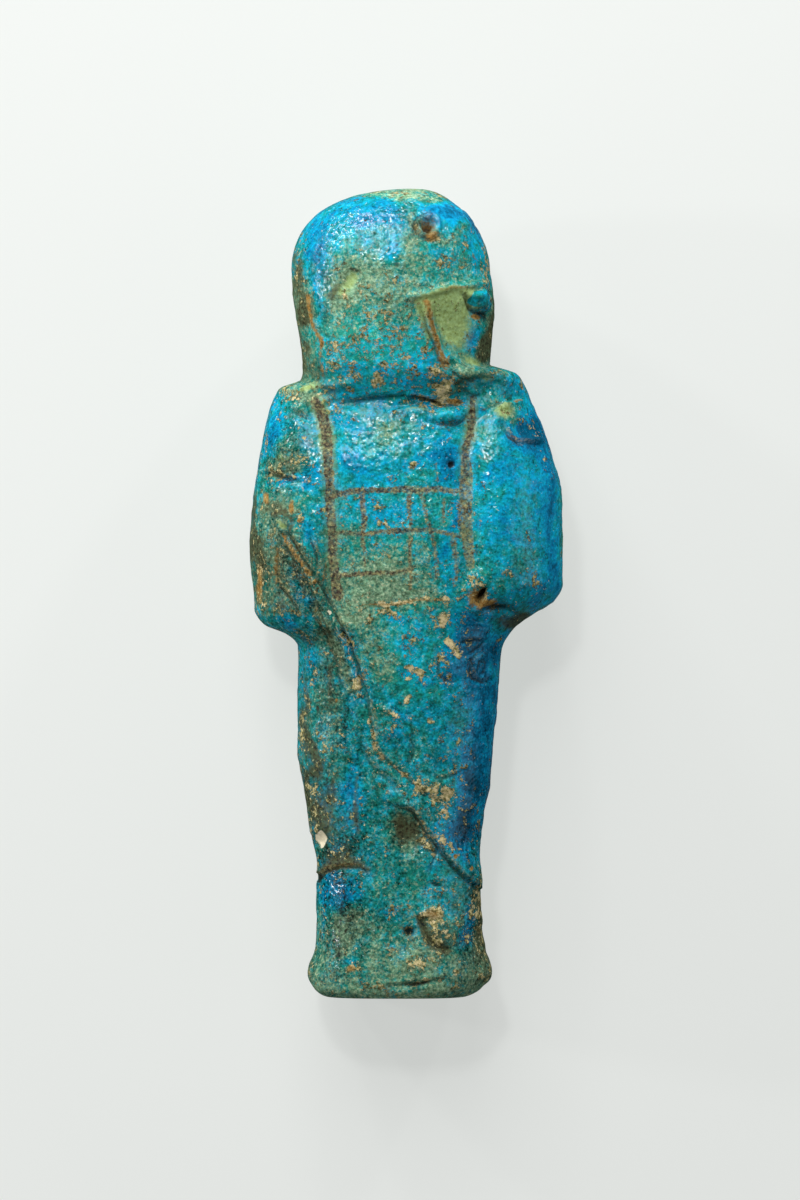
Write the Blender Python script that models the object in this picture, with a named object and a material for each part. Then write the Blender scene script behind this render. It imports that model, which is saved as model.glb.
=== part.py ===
"""A moulded faience ushabti: a mummy-shaped servant figurine, lying on its front.

The figure is one closed solid, as it came from its mould. It lies along Y with the crown
towards +Y and its back up, on the flats worn into its toes and crossed forearms at Z = 0.
Its skin is worked out ring by ring from the sole to the crown. Two outlines give its reach
to the left and right, two profiles give its front and back, and the carving is added to
those as relief. Run it with blender --background --python part.py
"""

import math

import bpy
import numpy as np

# Driving sizes, in metres.
LENGTH = 0.110
WIDTH = 0.0424
DEPTH = 0.0285
SOLE_ROUNDING = 0.0014
WORN_FLAT = 0.0004

# Fineness of the carved skin, and what it is thinned to where it is smooth.
COLUMNS = 240
BODY_RINGS = 320
CROWN_RINGS = 30
SOLE_RINGS = 6
ROUNDING_RINGS = 5
OUTLINE_SAMPLES = 2000
SECTION_SAMPLES = 361
TRIANGLES = 9600
FLAT_TOLERANCE = 0.00002

# The crown's dome: where it begins as a share of the length, how square it is, and how far
# its top lies towards +X as a share of the width. Only the very top leans.
CROWN_START = 0.900
CROWN_SQUARENESS = 2.1
CROWN_LEAN = 0.034
CROWN_LEAN_POWER = 8

# Outlines seen from behind: (share of the length above the sole, share of the width).
LEFT_REACH = [
    (0.000, 0.264),
    (0.026, 0.289),
    (0.055, 0.274),
    (0.110, 0.265),
    (0.165, 0.267),
    (0.205, 0.289),
    (0.265, 0.306),
    (0.300, 0.325),
    (0.440, 0.328),
    (0.456, 0.420),
    (0.474, 0.454),
    (0.560, 0.481),
    (0.680, 0.444),
    (0.752, 0.386),
    (0.764, 0.316),
    (0.776, 0.309),
    (0.860, 0.338),
    (0.900, 0.345),
]
RIGHT_REACH = [
    (0.000, 0.235),
    (0.013, 0.268),
    (0.028, 0.286),
    (0.055, 0.276),
    (0.095, 0.264),
    (0.170, 0.256),
    (0.290, 0.292),
    (0.380, 0.310),
    (0.430, 0.321),
    (0.452, 0.348),
    (0.474, 0.412),
    (0.490, 0.478),
    (0.512, 0.514),
    (0.620, 0.512),
    (0.680, 0.479),
    (0.730, 0.432),
    (0.770, 0.380),
    (0.782, 0.290),
    (0.850, 0.304),
    (0.900, 0.288),
]

# Profiles seen from the side: (share of the length, height over the floor as a share of depth).
BACK_HEIGHT = [
    (0.000, 0.715),
    (0.030, 0.735),
    (0.100, 0.712),
    (0.200, 0.722),
    (0.350, 0.778),
    (0.460, 0.832),
    (0.600, 0.880),
    (0.660, 0.878),
    (0.715, 0.848),
    (0.740, 0.846),
    (0.775, 0.925),
    (0.830, 0.985),
    (0.865, 1.000),
    (0.900, 0.990),
]
FRONT_HEIGHT = [
    (0.000, 0.010),
    (0.030, 0.000),
    (0.055, 0.010),
    (0.090, 0.110),
    (0.130, 0.165),
    (0.220, 0.150),
    (0.340, 0.105),
    (0.480, 0.080),
    (0.600, 0.072),
    (0.690, 0.088),
    (0.740, 0.120),
    (0.765, 0.165),
    (0.800, 0.155),
    (0.860, 0.145),
    (0.900, 0.155),
]

# How square the sections are, back and front: 2 is an ellipse, and more is squarer.
BACK_SQUARENESS = [(0.00, 2.9), (0.10, 2.5), (0.35, 2.3), (0.50, 2.5), (0.68, 2.6), (0.78, 2.3), (0.90, 2.2)]
FRONT_SQUARENESS = [(0.00, 3.2), (0.08, 2.7), (0.30, 2.3), (0.50, 2.7), (0.70, 2.6), (0.78, 2.3), (0.90, 2.2)]


def smooth_curve(points):
    """A function through (place, value) points that never swings past them.

    Between two points it is a cubic, whose slope at a point is the harmonic mean of the
    slopes on either side, or level where those two differ in sign.
    """
    place, value = np.array(points, float).T
    span = np.diff(place)
    slope = np.diff(value) / span
    tangent = np.concatenate([slope[:1], np.zeros(len(slope) - 1), slope[-1:]])
    before, after = slope[:-1], slope[1:]
    rising = before * after > 0
    tangent[1:-1][rising] = 2 * before[rising] * after[rising] / (before + after)[rising]

    def value_at(where):
        i = np.clip(np.searchsorted(place, where, side="right") - 1, 0, len(span) - 1)
        s = (where - place[i]) / span[i]
        return (
            value[i] * (1 + 2 * s) * (1 - s) ** 2
            + tangent[i] * span[i] * s * (1 - s) ** 2
            + value[i + 1] * s * s * (3 - 2 * s)
            + tangent[i + 1] * span[i] * s * s * (s - 1)
        )

    return value_at


def fade(value, low, high):
    """0 below low, 1 above high, and an even S between them."""
    s = np.clip((value - low) / (high - low), 0, 1)
    return s * s * (3 - 2 * s)


def mound(x, y, centre, reach, height, fullness=1.0):
    """A rounded mound on an ellipse: highest at its centre and level with the skin at its rim."""
    across, along = (x - centre[0]) / reach[0], (y - centre[1]) / reach[1]
    return height * np.clip(1 - across**2 - along**2, 0, 1) ** fullness


def limb(x, y, start, end, reaches, height):
    """A round-backed limb from start to end, whose reach changes evenly between them."""
    run = np.subtract(end, start)
    share = np.clip(((x - start[0]) * run[0] + (y - start[1]) * run[1]) / (run @ run), 0, 1)
    gap = np.hypot(x - start[0] - share * run[0], y - start[1] - share * run[1])
    reach = reaches[0] + share * (reaches[1] - reaches[0])
    return height * np.clip(1 - (gap / reach) ** 2, 0, 1) ** 0.85


def groove(x, y, route, reach, depth):
    """A soft valley along a route of points, as a depth below the skin."""
    gap = np.full(np.shape(x), np.inf)
    for start, end in zip(route, route[1:]):
        run = np.subtract(end, start)
        share = np.clip(((x - start[0]) * run[0] + (y - start[1]) * run[1]) / (run @ run), 0, 1)
        gap = np.minimum(gap, np.hypot(x - start[0] - share * run[0], y - start[1] - share * run[1]))
    return -depth * np.exp(-((gap / reach) ** 2))


# The carving. Places and reaches are shares of the length: x from the middle line, y up from
# the sole. Heights are shares of the length too.
FACE = {"centre": (0.000, 0.860), "reach": (0.074, 0.080), "height": 0.017}
FACE_TAPER = 0.28
FACE_RIM = (0.97, 1.17)
WIG = {"inner": 0.031, "outer": 0.099, "low": 0.670, "height": 0.0115, "edge": 0.0055}
SOCKET = {"centre": (0.030, 0.874), "reach": (0.026, 0.0165), "height": -0.0060}
EYE = {"centre": (0.030, 0.8725), "reach": (0.0195, 0.0085), "height": 0.0062}
BROW = {"route": [(0.009, 0.889), (0.030, 0.896), (0.051, 0.888)], "reach": 0.0045, "depth": -0.0030}
CHEEK = {"centre": (0.032, 0.842), "reach": (0.030, 0.032), "height": 0.0035}
NOSE = {"top": 0.888, "tip": 0.838, "reaches": (0.0080, 0.0165), "height": 0.0150}
LIPS = {"centre": (0.000, 0.8175), "reach": (0.023, 0.0105), "height": 0.0065}
MOUTH = {"route": [(-0.018, 0.8190), (0.000, 0.8178), (0.018, 0.8190)], "reach": 0.0020, "depth": 0.0045}
CHIN = {"centre": (0.000, 0.7955), "reach": (0.021, 0.016), "height": 0.0065}
EAR = {"centre": (0.0840, 0.862), "reach": (0.0130, 0.025), "height": 0.0070}
UPPER_ARM = {"start": (0.140, 0.700), "end": (0.150, 0.520), "reaches": (0.050, 0.048), "height": 0.012}
OVER_FOREARM = {"start": (0.150, 0.512), "end": (-0.046, 0.628), "reaches": (0.040, 0.028), "height": 0.028}
UNDER_FOREARM = {"start": (-0.150, 0.512), "end": (0.046, 0.628), "reaches": (0.040, 0.028), "height": 0.022}
FIST = {"centre": (0.060, 0.634), "reach": (0.029, 0.025), "height": 0.029}

# The back's carving, also in shares of the length, as seen from behind.
WIG_EDGE = [(-0.115, 0.765), (-0.082, 0.738), (0.000, 0.731), (0.085, 0.735), (0.108, 0.758)]
WIG_EDGE_REACH, WIG_EDGE_DEPTH = 0.012, 0.0075
LEFT_ARMPIT = [(-0.096, 0.715), (-0.086, 0.640), (-0.078, 0.560), (-0.075, 0.480)]
RIGHT_ARMPIT = [(0.090, 0.715), (0.084, 0.640), (0.083, 0.560), (0.098, 0.490), (0.130, 0.456)]
ARMPIT_REACH, ARMPIT_DEPTH = 0.020, 0.0048
LEFT_ARM = {"start": (-0.135, 0.680), "end": (-0.138, 0.510), "reaches": (0.052, 0.050), "height": 0.006}
RIGHT_ARM = {"start": (0.140, 0.680), "end": (0.142, 0.530), "reaches": (0.054, 0.056), "height": 0.010}


def face_oval(x, y):
    """0 in the middle of the face and 1 on its egg-shaped edge, which narrows to the chin."""
    down = np.clip((FACE["centre"][1] - y) / FACE["reach"][1], 0, 1)
    reach = FACE["reach"][0] * (1 - FACE_TAPER * down**1.5)
    return np.hypot(x / reach, (y - FACE["centre"][1]) / FACE["reach"][1])


def nose_relief(x, y):
    """A wedge that widens and rises from between the brows to the tip, then drops to the lip."""
    down = np.clip((NOSE["top"] - y) / (NOSE["top"] - NOSE["tip"]), 0, 1)
    reach = NOSE["reaches"][0] + down**2 * (NOSE["reaches"][1] - NOSE["reaches"][0])
    ridge = np.clip(1 - (x / reach) ** 2, 0, 1) ** 0.9
    below = fade(y, NOSE["tip"] - 0.008, NOSE["tip"] + 0.003)
    return NOSE["height"] * (0.30 * fade(down, 0, 0.25) + 0.70 * down) * ridge * below


def face_relief(x, y):
    """A calm, even face: an oval dome with nose, eyes, brows, cheeks, lips and chin on it."""
    mirrored = np.abs(x)
    relief = FACE["height"] * np.clip(1 - face_oval(x, y) ** 2.5, 0, 1)
    for feature in (SOCKET, EYE, CHEEK):
        relief += mound(mirrored, y, **feature)
    relief += groove(mirrored, y, **BROW) + groove(x, y, **MOUTH)
    return relief + mound(x, y, **LIPS) + mound(x, y, **CHIN) + nose_relief(x, y)


def wig_relief(x, y):
    """The wig's thickness: it frames the face, and two lappets hang before the shoulders."""
    mirrored, edge = np.abs(x), WIG["edge"]
    beside_throat = fade(mirrored, WIG["inner"] - edge, WIG["inner"] + edge)
    on_lappet = 1 - fade(mirrored, WIG["outer"] - edge, WIG["outer"] + edge)
    mask = fade(face_oval(x, y), *FACE_RIM)
    mask = mask * np.maximum(beside_throat, fade(y, 0.86, 0.88))
    mask = mask * np.maximum(on_lappet, fade(y, 0.755, 0.775))
    return WIG["height"] * mask * fade(y, WIG["low"] - edge, WIG["low"] + edge)


def front_relief(x, y):
    """Everything that stands out from the front: wig, face, ears, arms and fists."""
    mirrored = np.abs(x)
    head = wig_relief(x, y) + face_relief(x, y) + mound(mirrored, y, **EAR)
    arms = np.maximum(limb(x, y, **OVER_FOREARM), limb(x, y, **UNDER_FOREARM))
    arms = np.maximum(arms, mound(mirrored, y, **FIST))
    arms = np.maximum(arms, limb(mirrored, y, **UPPER_ARM))
    return np.maximum(head, arms)


def back_relief(x, y):
    """The valleys under the wig and beside the arms, and the arms' own roundness."""
    arms = np.maximum(limb(x, y, **LEFT_ARM), limb(x, y, **RIGHT_ARM))
    valleys = groove(x, y, WIG_EDGE, WIG_EDGE_REACH, WIG_EDGE_DEPTH)
    for route in (LEFT_ARMPIT, RIGHT_ARMPIT):
        valleys = np.minimum(valleys, groove(x, y, route, ARMPIT_REACH, ARMPIT_DEPTH))
    return arms + valleys


def ring_places():
    """Each ring's (height share, size share, inset, rise), from the sole's middle to the crown.

    The rings crowd together where the outlines turn quickest.
    """
    share = np.linspace(0, CROWN_START, OUTLINE_SAMPLES)
    run = np.zeros(OUTLINE_SAMPLES)
    for points, size in ((LEFT_REACH, WIDTH), (RIGHT_REACH, WIDTH), (BACK_HEIGHT, DEPTH), (FRONT_HEIGHT, DEPTH)):
        step = np.hypot(np.gradient(share) * LENGTH, np.gradient(smooth_curve(points)(share)) * size)
        run += np.cumsum(step)
    carved = 1 + 1.6 * fade(share, 0.46, 0.50) + 1.6 * fade(share, 0.72, 0.78)
    run = np.cumsum(np.gradient(run) * carved)
    body = np.interp(np.linspace(run[0], run[-1], BODY_RINGS), run, share)

    sole = [(0.0, size, 1.0) for size in np.linspace(0, 1, SOLE_RINGS + 1)[1:]]
    turns = np.linspace(0, math.pi / 2, ROUNDING_RINGS + 1)[1:]
    rounding = [(SOLE_ROUNDING / LENGTH * (1 - math.cos(a)), 1.0, 1 - math.sin(a)) for a in turns]
    body = [(s, 1.0, 0.0) for s in body if s > SOLE_ROUNDING / LENGTH * 1.2]
    rises = np.sin(np.linspace(0, math.pi / 2, CROWN_RINGS + 1)[1:-1])
    power = CROWN_SQUARENESS
    crown = [(CROWN_START + (1 - CROWN_START) * r, (1 - r**power) ** (1 / power), 0.0) for r in rises]
    return np.array(sole + rounding + body + crown)


def section(share, size, inset):
    """One ring of points round the figure, starting at the middle of the back.

    The ring is a superellipse in four quarters, each with its own reach. Its points are
    spread evenly along each half, from the middle of the back to the middle of the front.
    """
    low = min(share, CROWN_START)
    dome = max(0.0, share - CROWN_START) / (1 - CROWN_START)
    left, right = smooth_curve(LEFT_REACH)(low) * WIDTH, smooth_curve(RIGHT_REACH)(low) * WIDTH
    back, front = smooth_curve(BACK_HEIGHT)(low) * DEPTH, smooth_curve(FRONT_HEIGHT)(low) * DEPTH
    lean = dome**CROWN_LEAN_POWER
    middle_x = (right - left) / 2 * (1 - lean) + CROWN_LEAN * WIDTH * lean
    middle_z = (back + front) / 2
    half_x, half_z = (right + left) / 2, (back - front) / 2
    half_x, half_z = (half * size - SOLE_ROUNDING * inset * size for half in (half_x, half_z))
    powers = smooth_curve(BACK_SQUARENESS)(low), smooth_curve(FRONT_SQUARENESS)(low)
    halves = []
    for side in (1, -1):
        turn = np.linspace(0, math.pi, SECTION_SAMPLES)
        power = np.where(np.cos(turn) > 0, *powers)
        x = side * half_x * np.abs(np.sin(turn)) ** (2 / power)
        z = half_z * np.sign(np.cos(turn)) * np.abs(np.cos(turn)) ** (2 / power)
        along = np.concatenate([[0], np.cumsum(np.hypot(np.diff(x), np.diff(z)))])
        even = np.linspace(0, along[-1], COLUMNS // 2 + 1)
        half = np.stack([np.interp(even, along, x), np.interp(even, along, z)], axis=1)
        halves.append(half if side == 1 else half[::-1])
    ring = np.concatenate([halves[0][:-1], halves[1][:-1]])
    return np.column_stack([middle_x + ring[:, 0], np.full(COLUMNS, share * LENGTH), middle_z + ring[:, 1]])


def skin():
    """All rings as one array, carved back and front, then worn flat where the figure rests."""
    places = ring_places()
    rings = np.stack([section(*place) for place in places])
    x, y, z = rings[..., 0], rings[..., 1], rings[..., 2]
    middle = (z.max(axis=1) + z.min(axis=1))[:, None] / 2
    half = (z.max(axis=1) - z.min(axis=1))[:, None] / 2
    facing = (z - middle) / np.maximum(half, 1e-9)
    kept = places[:, 1:2] * (1 - places[:, 2:3]) * fade(y / LENGTH, 0.0, 0.02)
    back = back_relief(x / LENGTH, y / LENGTH) * fade(facing, 0.15, 0.75)
    front = front_relief(x / LENGTH, y / LENGTH) * fade(-facing, 0.15, 0.75)
    z += (back - front) * LENGTH * kept
    np.maximum(z, WORN_FLAT, out=z)
    z -= WORN_FLAT
    return rings


def figure_mesh(name):
    """The rings joined by four-sided faces, and closed at both poles by a fan."""
    rings = skin()
    count = len(rings)
    low_pole = rings[0].mean(axis=0) * (1, 0, 1)
    high_pole = np.array([rings[-1][:, 0].mean(), LENGTH, rings[-1][:, 2].mean()])
    points = np.concatenate([rings.reshape(-1, 3), [low_pole, high_pole]])
    points[:, 0] -= (points[:, 0].max() + points[:, 0].min()) / 2
    points[:, 1] -= (points[:, 1].max() + points[:, 1].min()) / 2
    column = np.arange(COLUMNS)
    after = (column + 1) % COLUMNS
    faces = []
    for ring in range(count - 1):
        here, above = ring * COLUMNS, (ring + 1) * COLUMNS
        faces += np.stack([here + column, here + after, above + after, above + column], axis=1).tolist()
    last = (count - 1) * COLUMNS
    low, high = count * COLUMNS, count * COLUMNS + 1
    faces += [(low, int(b), int(a)) for a, b in zip(column, after)]
    faces += [(high, int(last + a), int(last + b)) for a, b in zip(column, after)]
    mesh = bpy.data.meshes.new(name)
    mesh.from_pydata(points.tolist(), [], faces)
    mesh.update()
    return mesh


def faience():
    """Turquoise glazed faience."""
    material = bpy.data.materials.new("faience")
    material.use_nodes = True
    shader = material.node_tree.nodes["Principled BSDF"]
    shader.inputs["Base Color"].default_value = (0.016, 0.250, 0.330, 1.0)
    shader.inputs["Roughness"].default_value = 0.35
    shader.inputs["Metallic"].default_value = 0.0
    return material


def thin_out(figure):
    """Fewer faces where the skin is smooth, with the sole and the worn flats kept truly flat."""
    thinned = figure.modifiers.new("Thinned", "DECIMATE")
    thinned.ratio = TRIANGLES / sum(len(face.vertices) - 2 for face in figure.data.polygons)
    graph = bpy.context.evaluated_depsgraph_get()
    mesh = bpy.data.meshes.new_from_object(figure.evaluated_get(graph))
    figure.modifiers.remove(thinned)
    figure.data = mesh
    points = np.empty(len(mesh.vertices) * 3)
    mesh.vertices.foreach_get("co", points)
    points = points.reshape(-1, 3)
    points[points[:, 2] < FLAT_TOLERANCE, 2] = 0
    points[points[:, 1] < FLAT_TOLERANCE - LENGTH / 2, 1] = -LENGTH / 2
    mesh.vertices.foreach_set("co", points.ravel())
    mesh.update()


def main():
    for old in list(bpy.data.objects):
        bpy.data.objects.remove(old)
    figure = bpy.data.objects.new("ushabti", figure_mesh("ushabti"))
    bpy.context.collection.objects.link(figure)
    figure.data.materials.append(faience())
    thin_out(figure)
    figure.data.shade_smooth()


main()
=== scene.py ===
"""The finish of a faience ushabti, a mummy-shaped servant figurine that lies on its front.

The glazed surface is one closed skin, worked out with numpy around the solid model. Places on it
are given in parts, as seen from behind with the head up: x to the right of the middle line, and h
up from the sole. A part is the length over 110, so it is a millimetre on a figure of 110 mm. What
the old surface carries, such as folds, dents and pits, is relief on that skin. What the glaze
carries, such as its shades, its crusts and the painted lines, is kept as named attributes, which
the material turns into colour.
"""

import itertools
import math

import bpy
import numpy as np
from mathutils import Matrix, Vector


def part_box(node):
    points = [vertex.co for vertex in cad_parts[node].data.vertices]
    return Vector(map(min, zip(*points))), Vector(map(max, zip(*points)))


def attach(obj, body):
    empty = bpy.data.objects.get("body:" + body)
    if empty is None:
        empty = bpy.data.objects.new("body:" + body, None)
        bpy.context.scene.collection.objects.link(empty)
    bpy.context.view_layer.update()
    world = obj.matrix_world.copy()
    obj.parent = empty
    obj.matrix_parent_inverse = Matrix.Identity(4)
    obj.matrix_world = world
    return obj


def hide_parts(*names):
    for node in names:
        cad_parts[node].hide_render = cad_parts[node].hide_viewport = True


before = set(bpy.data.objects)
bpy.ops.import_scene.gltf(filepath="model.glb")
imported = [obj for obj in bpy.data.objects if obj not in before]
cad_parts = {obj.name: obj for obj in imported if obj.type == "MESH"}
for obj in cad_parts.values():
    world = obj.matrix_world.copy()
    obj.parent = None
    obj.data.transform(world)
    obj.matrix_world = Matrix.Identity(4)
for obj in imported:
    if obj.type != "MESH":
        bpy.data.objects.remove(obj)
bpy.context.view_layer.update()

bl_info = {
    "name": "Faience ushabti",
    "version": (1, 0, 0),
    "blender": (4, 5, 0),
    "location": "3D View > Sidebar > Ushabti",
    "description": "Builds the glazed skin of a faience ushabti around its solid, and a studio for it",
    "category": "Add Mesh",
}

low_corner, high_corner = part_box("ushabti")
solid_size = [high - low for low, high in zip(low_corner, high_corner)]

PARTS_IN_LENGTH = 110

# Outlines seen from behind: (share of the length above the sole, share of the width).
LEFT_REACH = [
    (0, 0.264), (0.026, 0.289), (0.055, 0.274), (0.11, 0.265), (0.165, 0.267), (0.205, 0.289),
    (0.265, 0.31), (0.3, 0.325), (0.436, 0.328), (0.45, 0.368), (0.461, 0.434), (0.478, 0.465),
    (0.505, 0.47), (0.56, 0.481), (0.68, 0.444), (0.752, 0.386), (0.764, 0.316), (0.776, 0.309),
    (0.86, 0.338), (0.9, 0.345),
]
RIGHT_REACH = [
    (0, 0.24), (0.013, 0.268), (0.028, 0.286), (0.055, 0.276), (0.095, 0.264), (0.17, 0.256), (0.29, 0.299),
    (0.38, 0.317), (0.43, 0.329), (0.452, 0.36), (0.474, 0.43), (0.49, 0.494), (0.512, 0.527),
    (0.62, 0.521), (0.68, 0.48), (0.73, 0.432), (0.77, 0.38), (0.782, 0.29), (0.85, 0.304), (0.9, 0.288),
]
# The share of the solid's width that the two reaches fill together where they are widest.
SOLID_WIDEST = 0.995

# Profiles from the side: (share of the length, height over the floor as a share of the depth).
BACK_HEIGHT = [
    (0, 0.715), (0.03, 0.735), (0.1, 0.712), (0.2, 0.722), (0.35, 0.778), (0.46, 0.832), (0.6, 0.88),
    (0.66, 0.878), (0.715, 0.848), (0.74, 0.846), (0.775, 0.925), (0.83, 0.985), (0.865, 1), (0.9, 0.99),
]
FRONT_HEIGHT = [
    (0, 0.01), (0.03, 0), (0.055, 0.01), (0.09, 0.11), (0.13, 0.165), (0.22, 0.15), (0.34, 0.105),
    (0.48, 0.08), (0.6, 0.072), (0.69, 0.088), (0.74, 0.12), (0.765, 0.165), (0.8, 0.155), (0.86, 0.145),
    (0.9, 0.155),
]

# How square the sections are: 2 is an ellipse, and more is squarer.
BACK_SQUARENESS = [
    (0, 2.9), (0.1, 2.5), (0.35, 2.3), (0.5, 2.5), (0.68, 2.6), (0.78, 2.3), (0.9, 2.2),
]
FRONT_SQUARENESS = [
    (0, 3.2), (0.08, 2.7), (0.3, 2.3), (0.5, 2.7), (0.7, 2.6), (0.78, 2.3), (0.9, 2.2),
]
# The crown closes over the last rings, and leans to the right by a share of the width.
CROWN_START = 0.900
CROWN_SQUARENESS = 2.1
CROWN_LEAN = 0.034
CROWN_LEAN_POWER = 8
WORN_FLAT = 0.0004

# Fineness of the skin. The columns stand closer on the back, and the rings in the middle.
COLUMNS = 264
BODY_RINGS = 318
CROWN_RINGS = 42
SOLE_RINGS = 6
ROUNDING_RINGS = 6
BACK_CROWDING = 0.25

# The carving of the front, in parts.
FACE = {"place": (0.0, 94.6), "reach": (8.1, 8.8), "height": 1.87}
FACE_TAPER = 0.28
FACE_RIM = (0.97, 1.15)
WIG = {"inner": 3.4, "outer": 10.9, "low": 73.7, "height": 1.27, "edge": 0.5}
THROAT = (94.6, 96.8)
SHOULDER = (83.0, 85.2)
SOCKET = {"place": (3.3, 96.1), "reach": (2.9, 1.8), "height": -0.66}
EYE = {"place": (3.3, 96.0), "reach": (2.1, 0.95), "height": 0.68}
CHEEK = {"place": (3.5, 92.6), "reach": (3.3, 3.5), "height": 0.38}
LIPS = {"place": (0.0, 89.9), "reach": (2.5, 1.15), "height": 0.72}
CHIN = {"place": (0.0, 87.5), "reach": (2.3, 1.8), "height": 0.72}
EAR = {"place": (9.2, 94.8), "reach": (1.45, 2.8), "height": 0.80}
BROW = {"route": [(1.0, 97.8), (3.3, 98.6), (5.6, 97.7)], "reach": 0.5, "height": 0.33}
MOUTH = {"route": [(-2.0, 90.1), (0.0, 89.95), (2.0, 90.1)], "reach": 0.22, "height": -0.5}
NOSE = {"top": 97.7, "tip": 92.2, "reaches": (0.9, 1.8), "height": 1.65}
UPPER_ARM = {"start": (15.4, 77.0), "end": (16.5, 57.2), "reaches": (5.5, 5.3), "height": 1.3}
OVER_FOREARM = {"start": (16.5, 56.3), "end": (-5.1, 69.1), "reaches": (4.4, 3.1), "height": 3.1}
UNDER_FOREARM = {"start": (-16.5, 56.3), "end": (5.1, 69.1), "reaches": (4.4, 3.1), "height": 2.4}
FIST = {"place": (6.6, 69.7), "reach": (3.2, 2.8), "height": 3.2}

# The large forms of the back, in parts.
WIG_EDGE = {
    "route": [(-12.6, 84.1), (-9.0, 81.2), (0.0, 80.4), (9.4, 80.9), (11.9, 83.4)],
    "reach": 1.3,
    "height": -0.83,
}
ARMPIT = {"reach": 2.2, "height": -0.53}
LEFT_ARMPIT = {"route": [(-10.6, 78.6), (-9.5, 70.4), (-8.6, 61.6), (-8.2, 52.8)], **ARMPIT}
RIGHT_ARMPIT = {"route": [(9.9, 78.6), (9.2, 70.4), (9.1, 61.6), (10.8, 53.9), (14.3, 50.2)], **ARMPIT}
LEFT_ARM = {"start": (-14.9, 74.8), "end": (-15.2, 56.1), "reaches": (5.7, 5.5), "height": 0.66}
RIGHT_ARM = {"start": (15.4, 74.8), "end": (15.6, 58.3), "reaches": (5.9, 6.2), "height": 1.1}

# Lumps and hollows of the back, in parts: x, h, reach across, reach up, height, and a turn in degrees.
LUMPS = {
    "pit in the crown": (3.8, 104.4, 1.25, 1.25, -1.2),
    "dip on the left of the wig": (-6.5, 96.9, 1.4, 2.2, -0.5, -35),
    "bare scar on the wig": (7.4, 91, 3.6, 5.6, -0.7, 12),
    "hollow round the drop": (10.9, 94, 2.4, 3, -0.6),
    "lump under the wig": (6.7, 79.2, 2.7, 1.4, 1.05, -8),
    "knob low on the wig": (6.9, 82.6, 0.9, 0.8, 0.55),
    "knob right of it": (8.6, 84.4, 1.2, 0.8, 0.5, 30),
    "knob at the wig's lower right": (10, 82.4, 1.1, 0.8, 0.6, -20),
    "hollow between the knobs": (8, 83.2, 0.9, 0.5, -0.5, 20),
    "hollow under the knobs": (5, 83.2, 1.4, 0.6, -0.4, -10),
    "knob left on the wig": (-6.6, 83.6, 1, 0.7, 0.3, 20),
    "small lump under the wig": (3.3, 79.9, 1.6, 0.9, 0.45, 10),
    "dip over the lump": (3.2, 81, 2.4, 0.7, -0.3),
    "pit on the upper back": (7.2, 72.5, 0.5, 0.55, -0.9),
    "dent on the right shoulder": (16.6, 77, 1.9, 1.9, -0.8, 35),
    "ridge on the right shoulder": (14.6, 80.2, 2.2, 0.8, 0.45, -30),
    "knob on the right shoulder": (13.4, 78.7, 1.1, 0.9, 0.35),
    "swelling of the right arm": (15.6, 64, 5.4, 9.5, 0.35),
    "crust by the right elbow": (10.4, 55.2, 2.4, 3.4, 0.75),
    "hole by the right elbow": (11.2, 54.8, 0.8, 1.3, -1.9, -30),
    "rubble left of the hole": (9.6, 55.8, 0.9, 1.1, 0.4),
    "rubble under the hole": (10.6, 52.9, 0.8, 0.7, 0.4),
    "hollow under the right elbow": (13.6, 53, 2, 0.9, -0.5, 5),
    "dip on the left shoulder": (-15.6, 70.7, 2.2, 1.1, -0.45, -10),
    "swelling of the left shoulder": (-15.4, 74.4, 2.4, 2.6, 0.35),
    "hollow by the left strap": (-13.1, 79, 1.8, 1, -0.35, -25),
    "inside of the elbow's loop": (-15.8, 64.5, 0.7, 0.45, 0.25, -50),
    "crumb on the left folds": (-11.5, 56.7, 0.45, 0.4, 0.45),
    "crumb over the left folds": (-13.6, 64.7, 0.36, 0.36, 0.3),
    "end of the short fold": (-11.6, 58.2, 0.6, 0.8, 0.35),
    "swirl on the right hip": (10.9, 44.8, 1.2, 2, 0.3, -10),
    "crust on the hip": (6.7, 45.8, 1.7, 2.9, 0.26),
    "crust over the crack": (5, 29, 3.6, 1.8, 0.3, -10),
    "chip on the left shin": (-11, 21.6, 1.2, 1.6, -0.6, 15),
    "notch in the left edge": (-11.6, 16.4, 0.9, 0.7, -0.85),
    "hollow under the crack": (1.8, 22.4, 2.6, 3.2, -0.55, 20),
    "pits on the shin": (5.1, 15.4, 1.2, 0.45, -0.45, -25),
    "cluster on the shin": (4.3, 11.6, 1.7, 1, 0.3),
    "pit by the foot": (1.3, 9.2, 1.1, 0.85, -1),
    "crust by the foot": (6.2, 8.9, 2.8, 2.5, 0.45),
    "lump on the left heel": (-12, 4.2, 1.6, 2.6, 0.45),
    "lump on the right heel": (12, 3.6, 1.7, 2.6, 0.55),
    "dip over the right heel": (10.8, 8.4, 1.4, 2, -0.4),
}

# Thick drops of glaze, which have steep sides, in the same way.
DROPS = {
    "pool of glaze on the crown": (6.8, 105.9, 3.4, 1.6, 0.5, -12),
    "left end of the pool": (4.2, 106.4, 1.4, 0.9, 0.25, 30),
    "drop of glaze on the wig": (11, 94.7, 1.3, 1.7, 1.3),
    "tip of the drop": (9.7, 95.4, 1.1, 0.6, 0.65, -20),
    "bead on the left folds": (-11.5, 56.7, 0.42, 0.38, 0.35),
}

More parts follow.
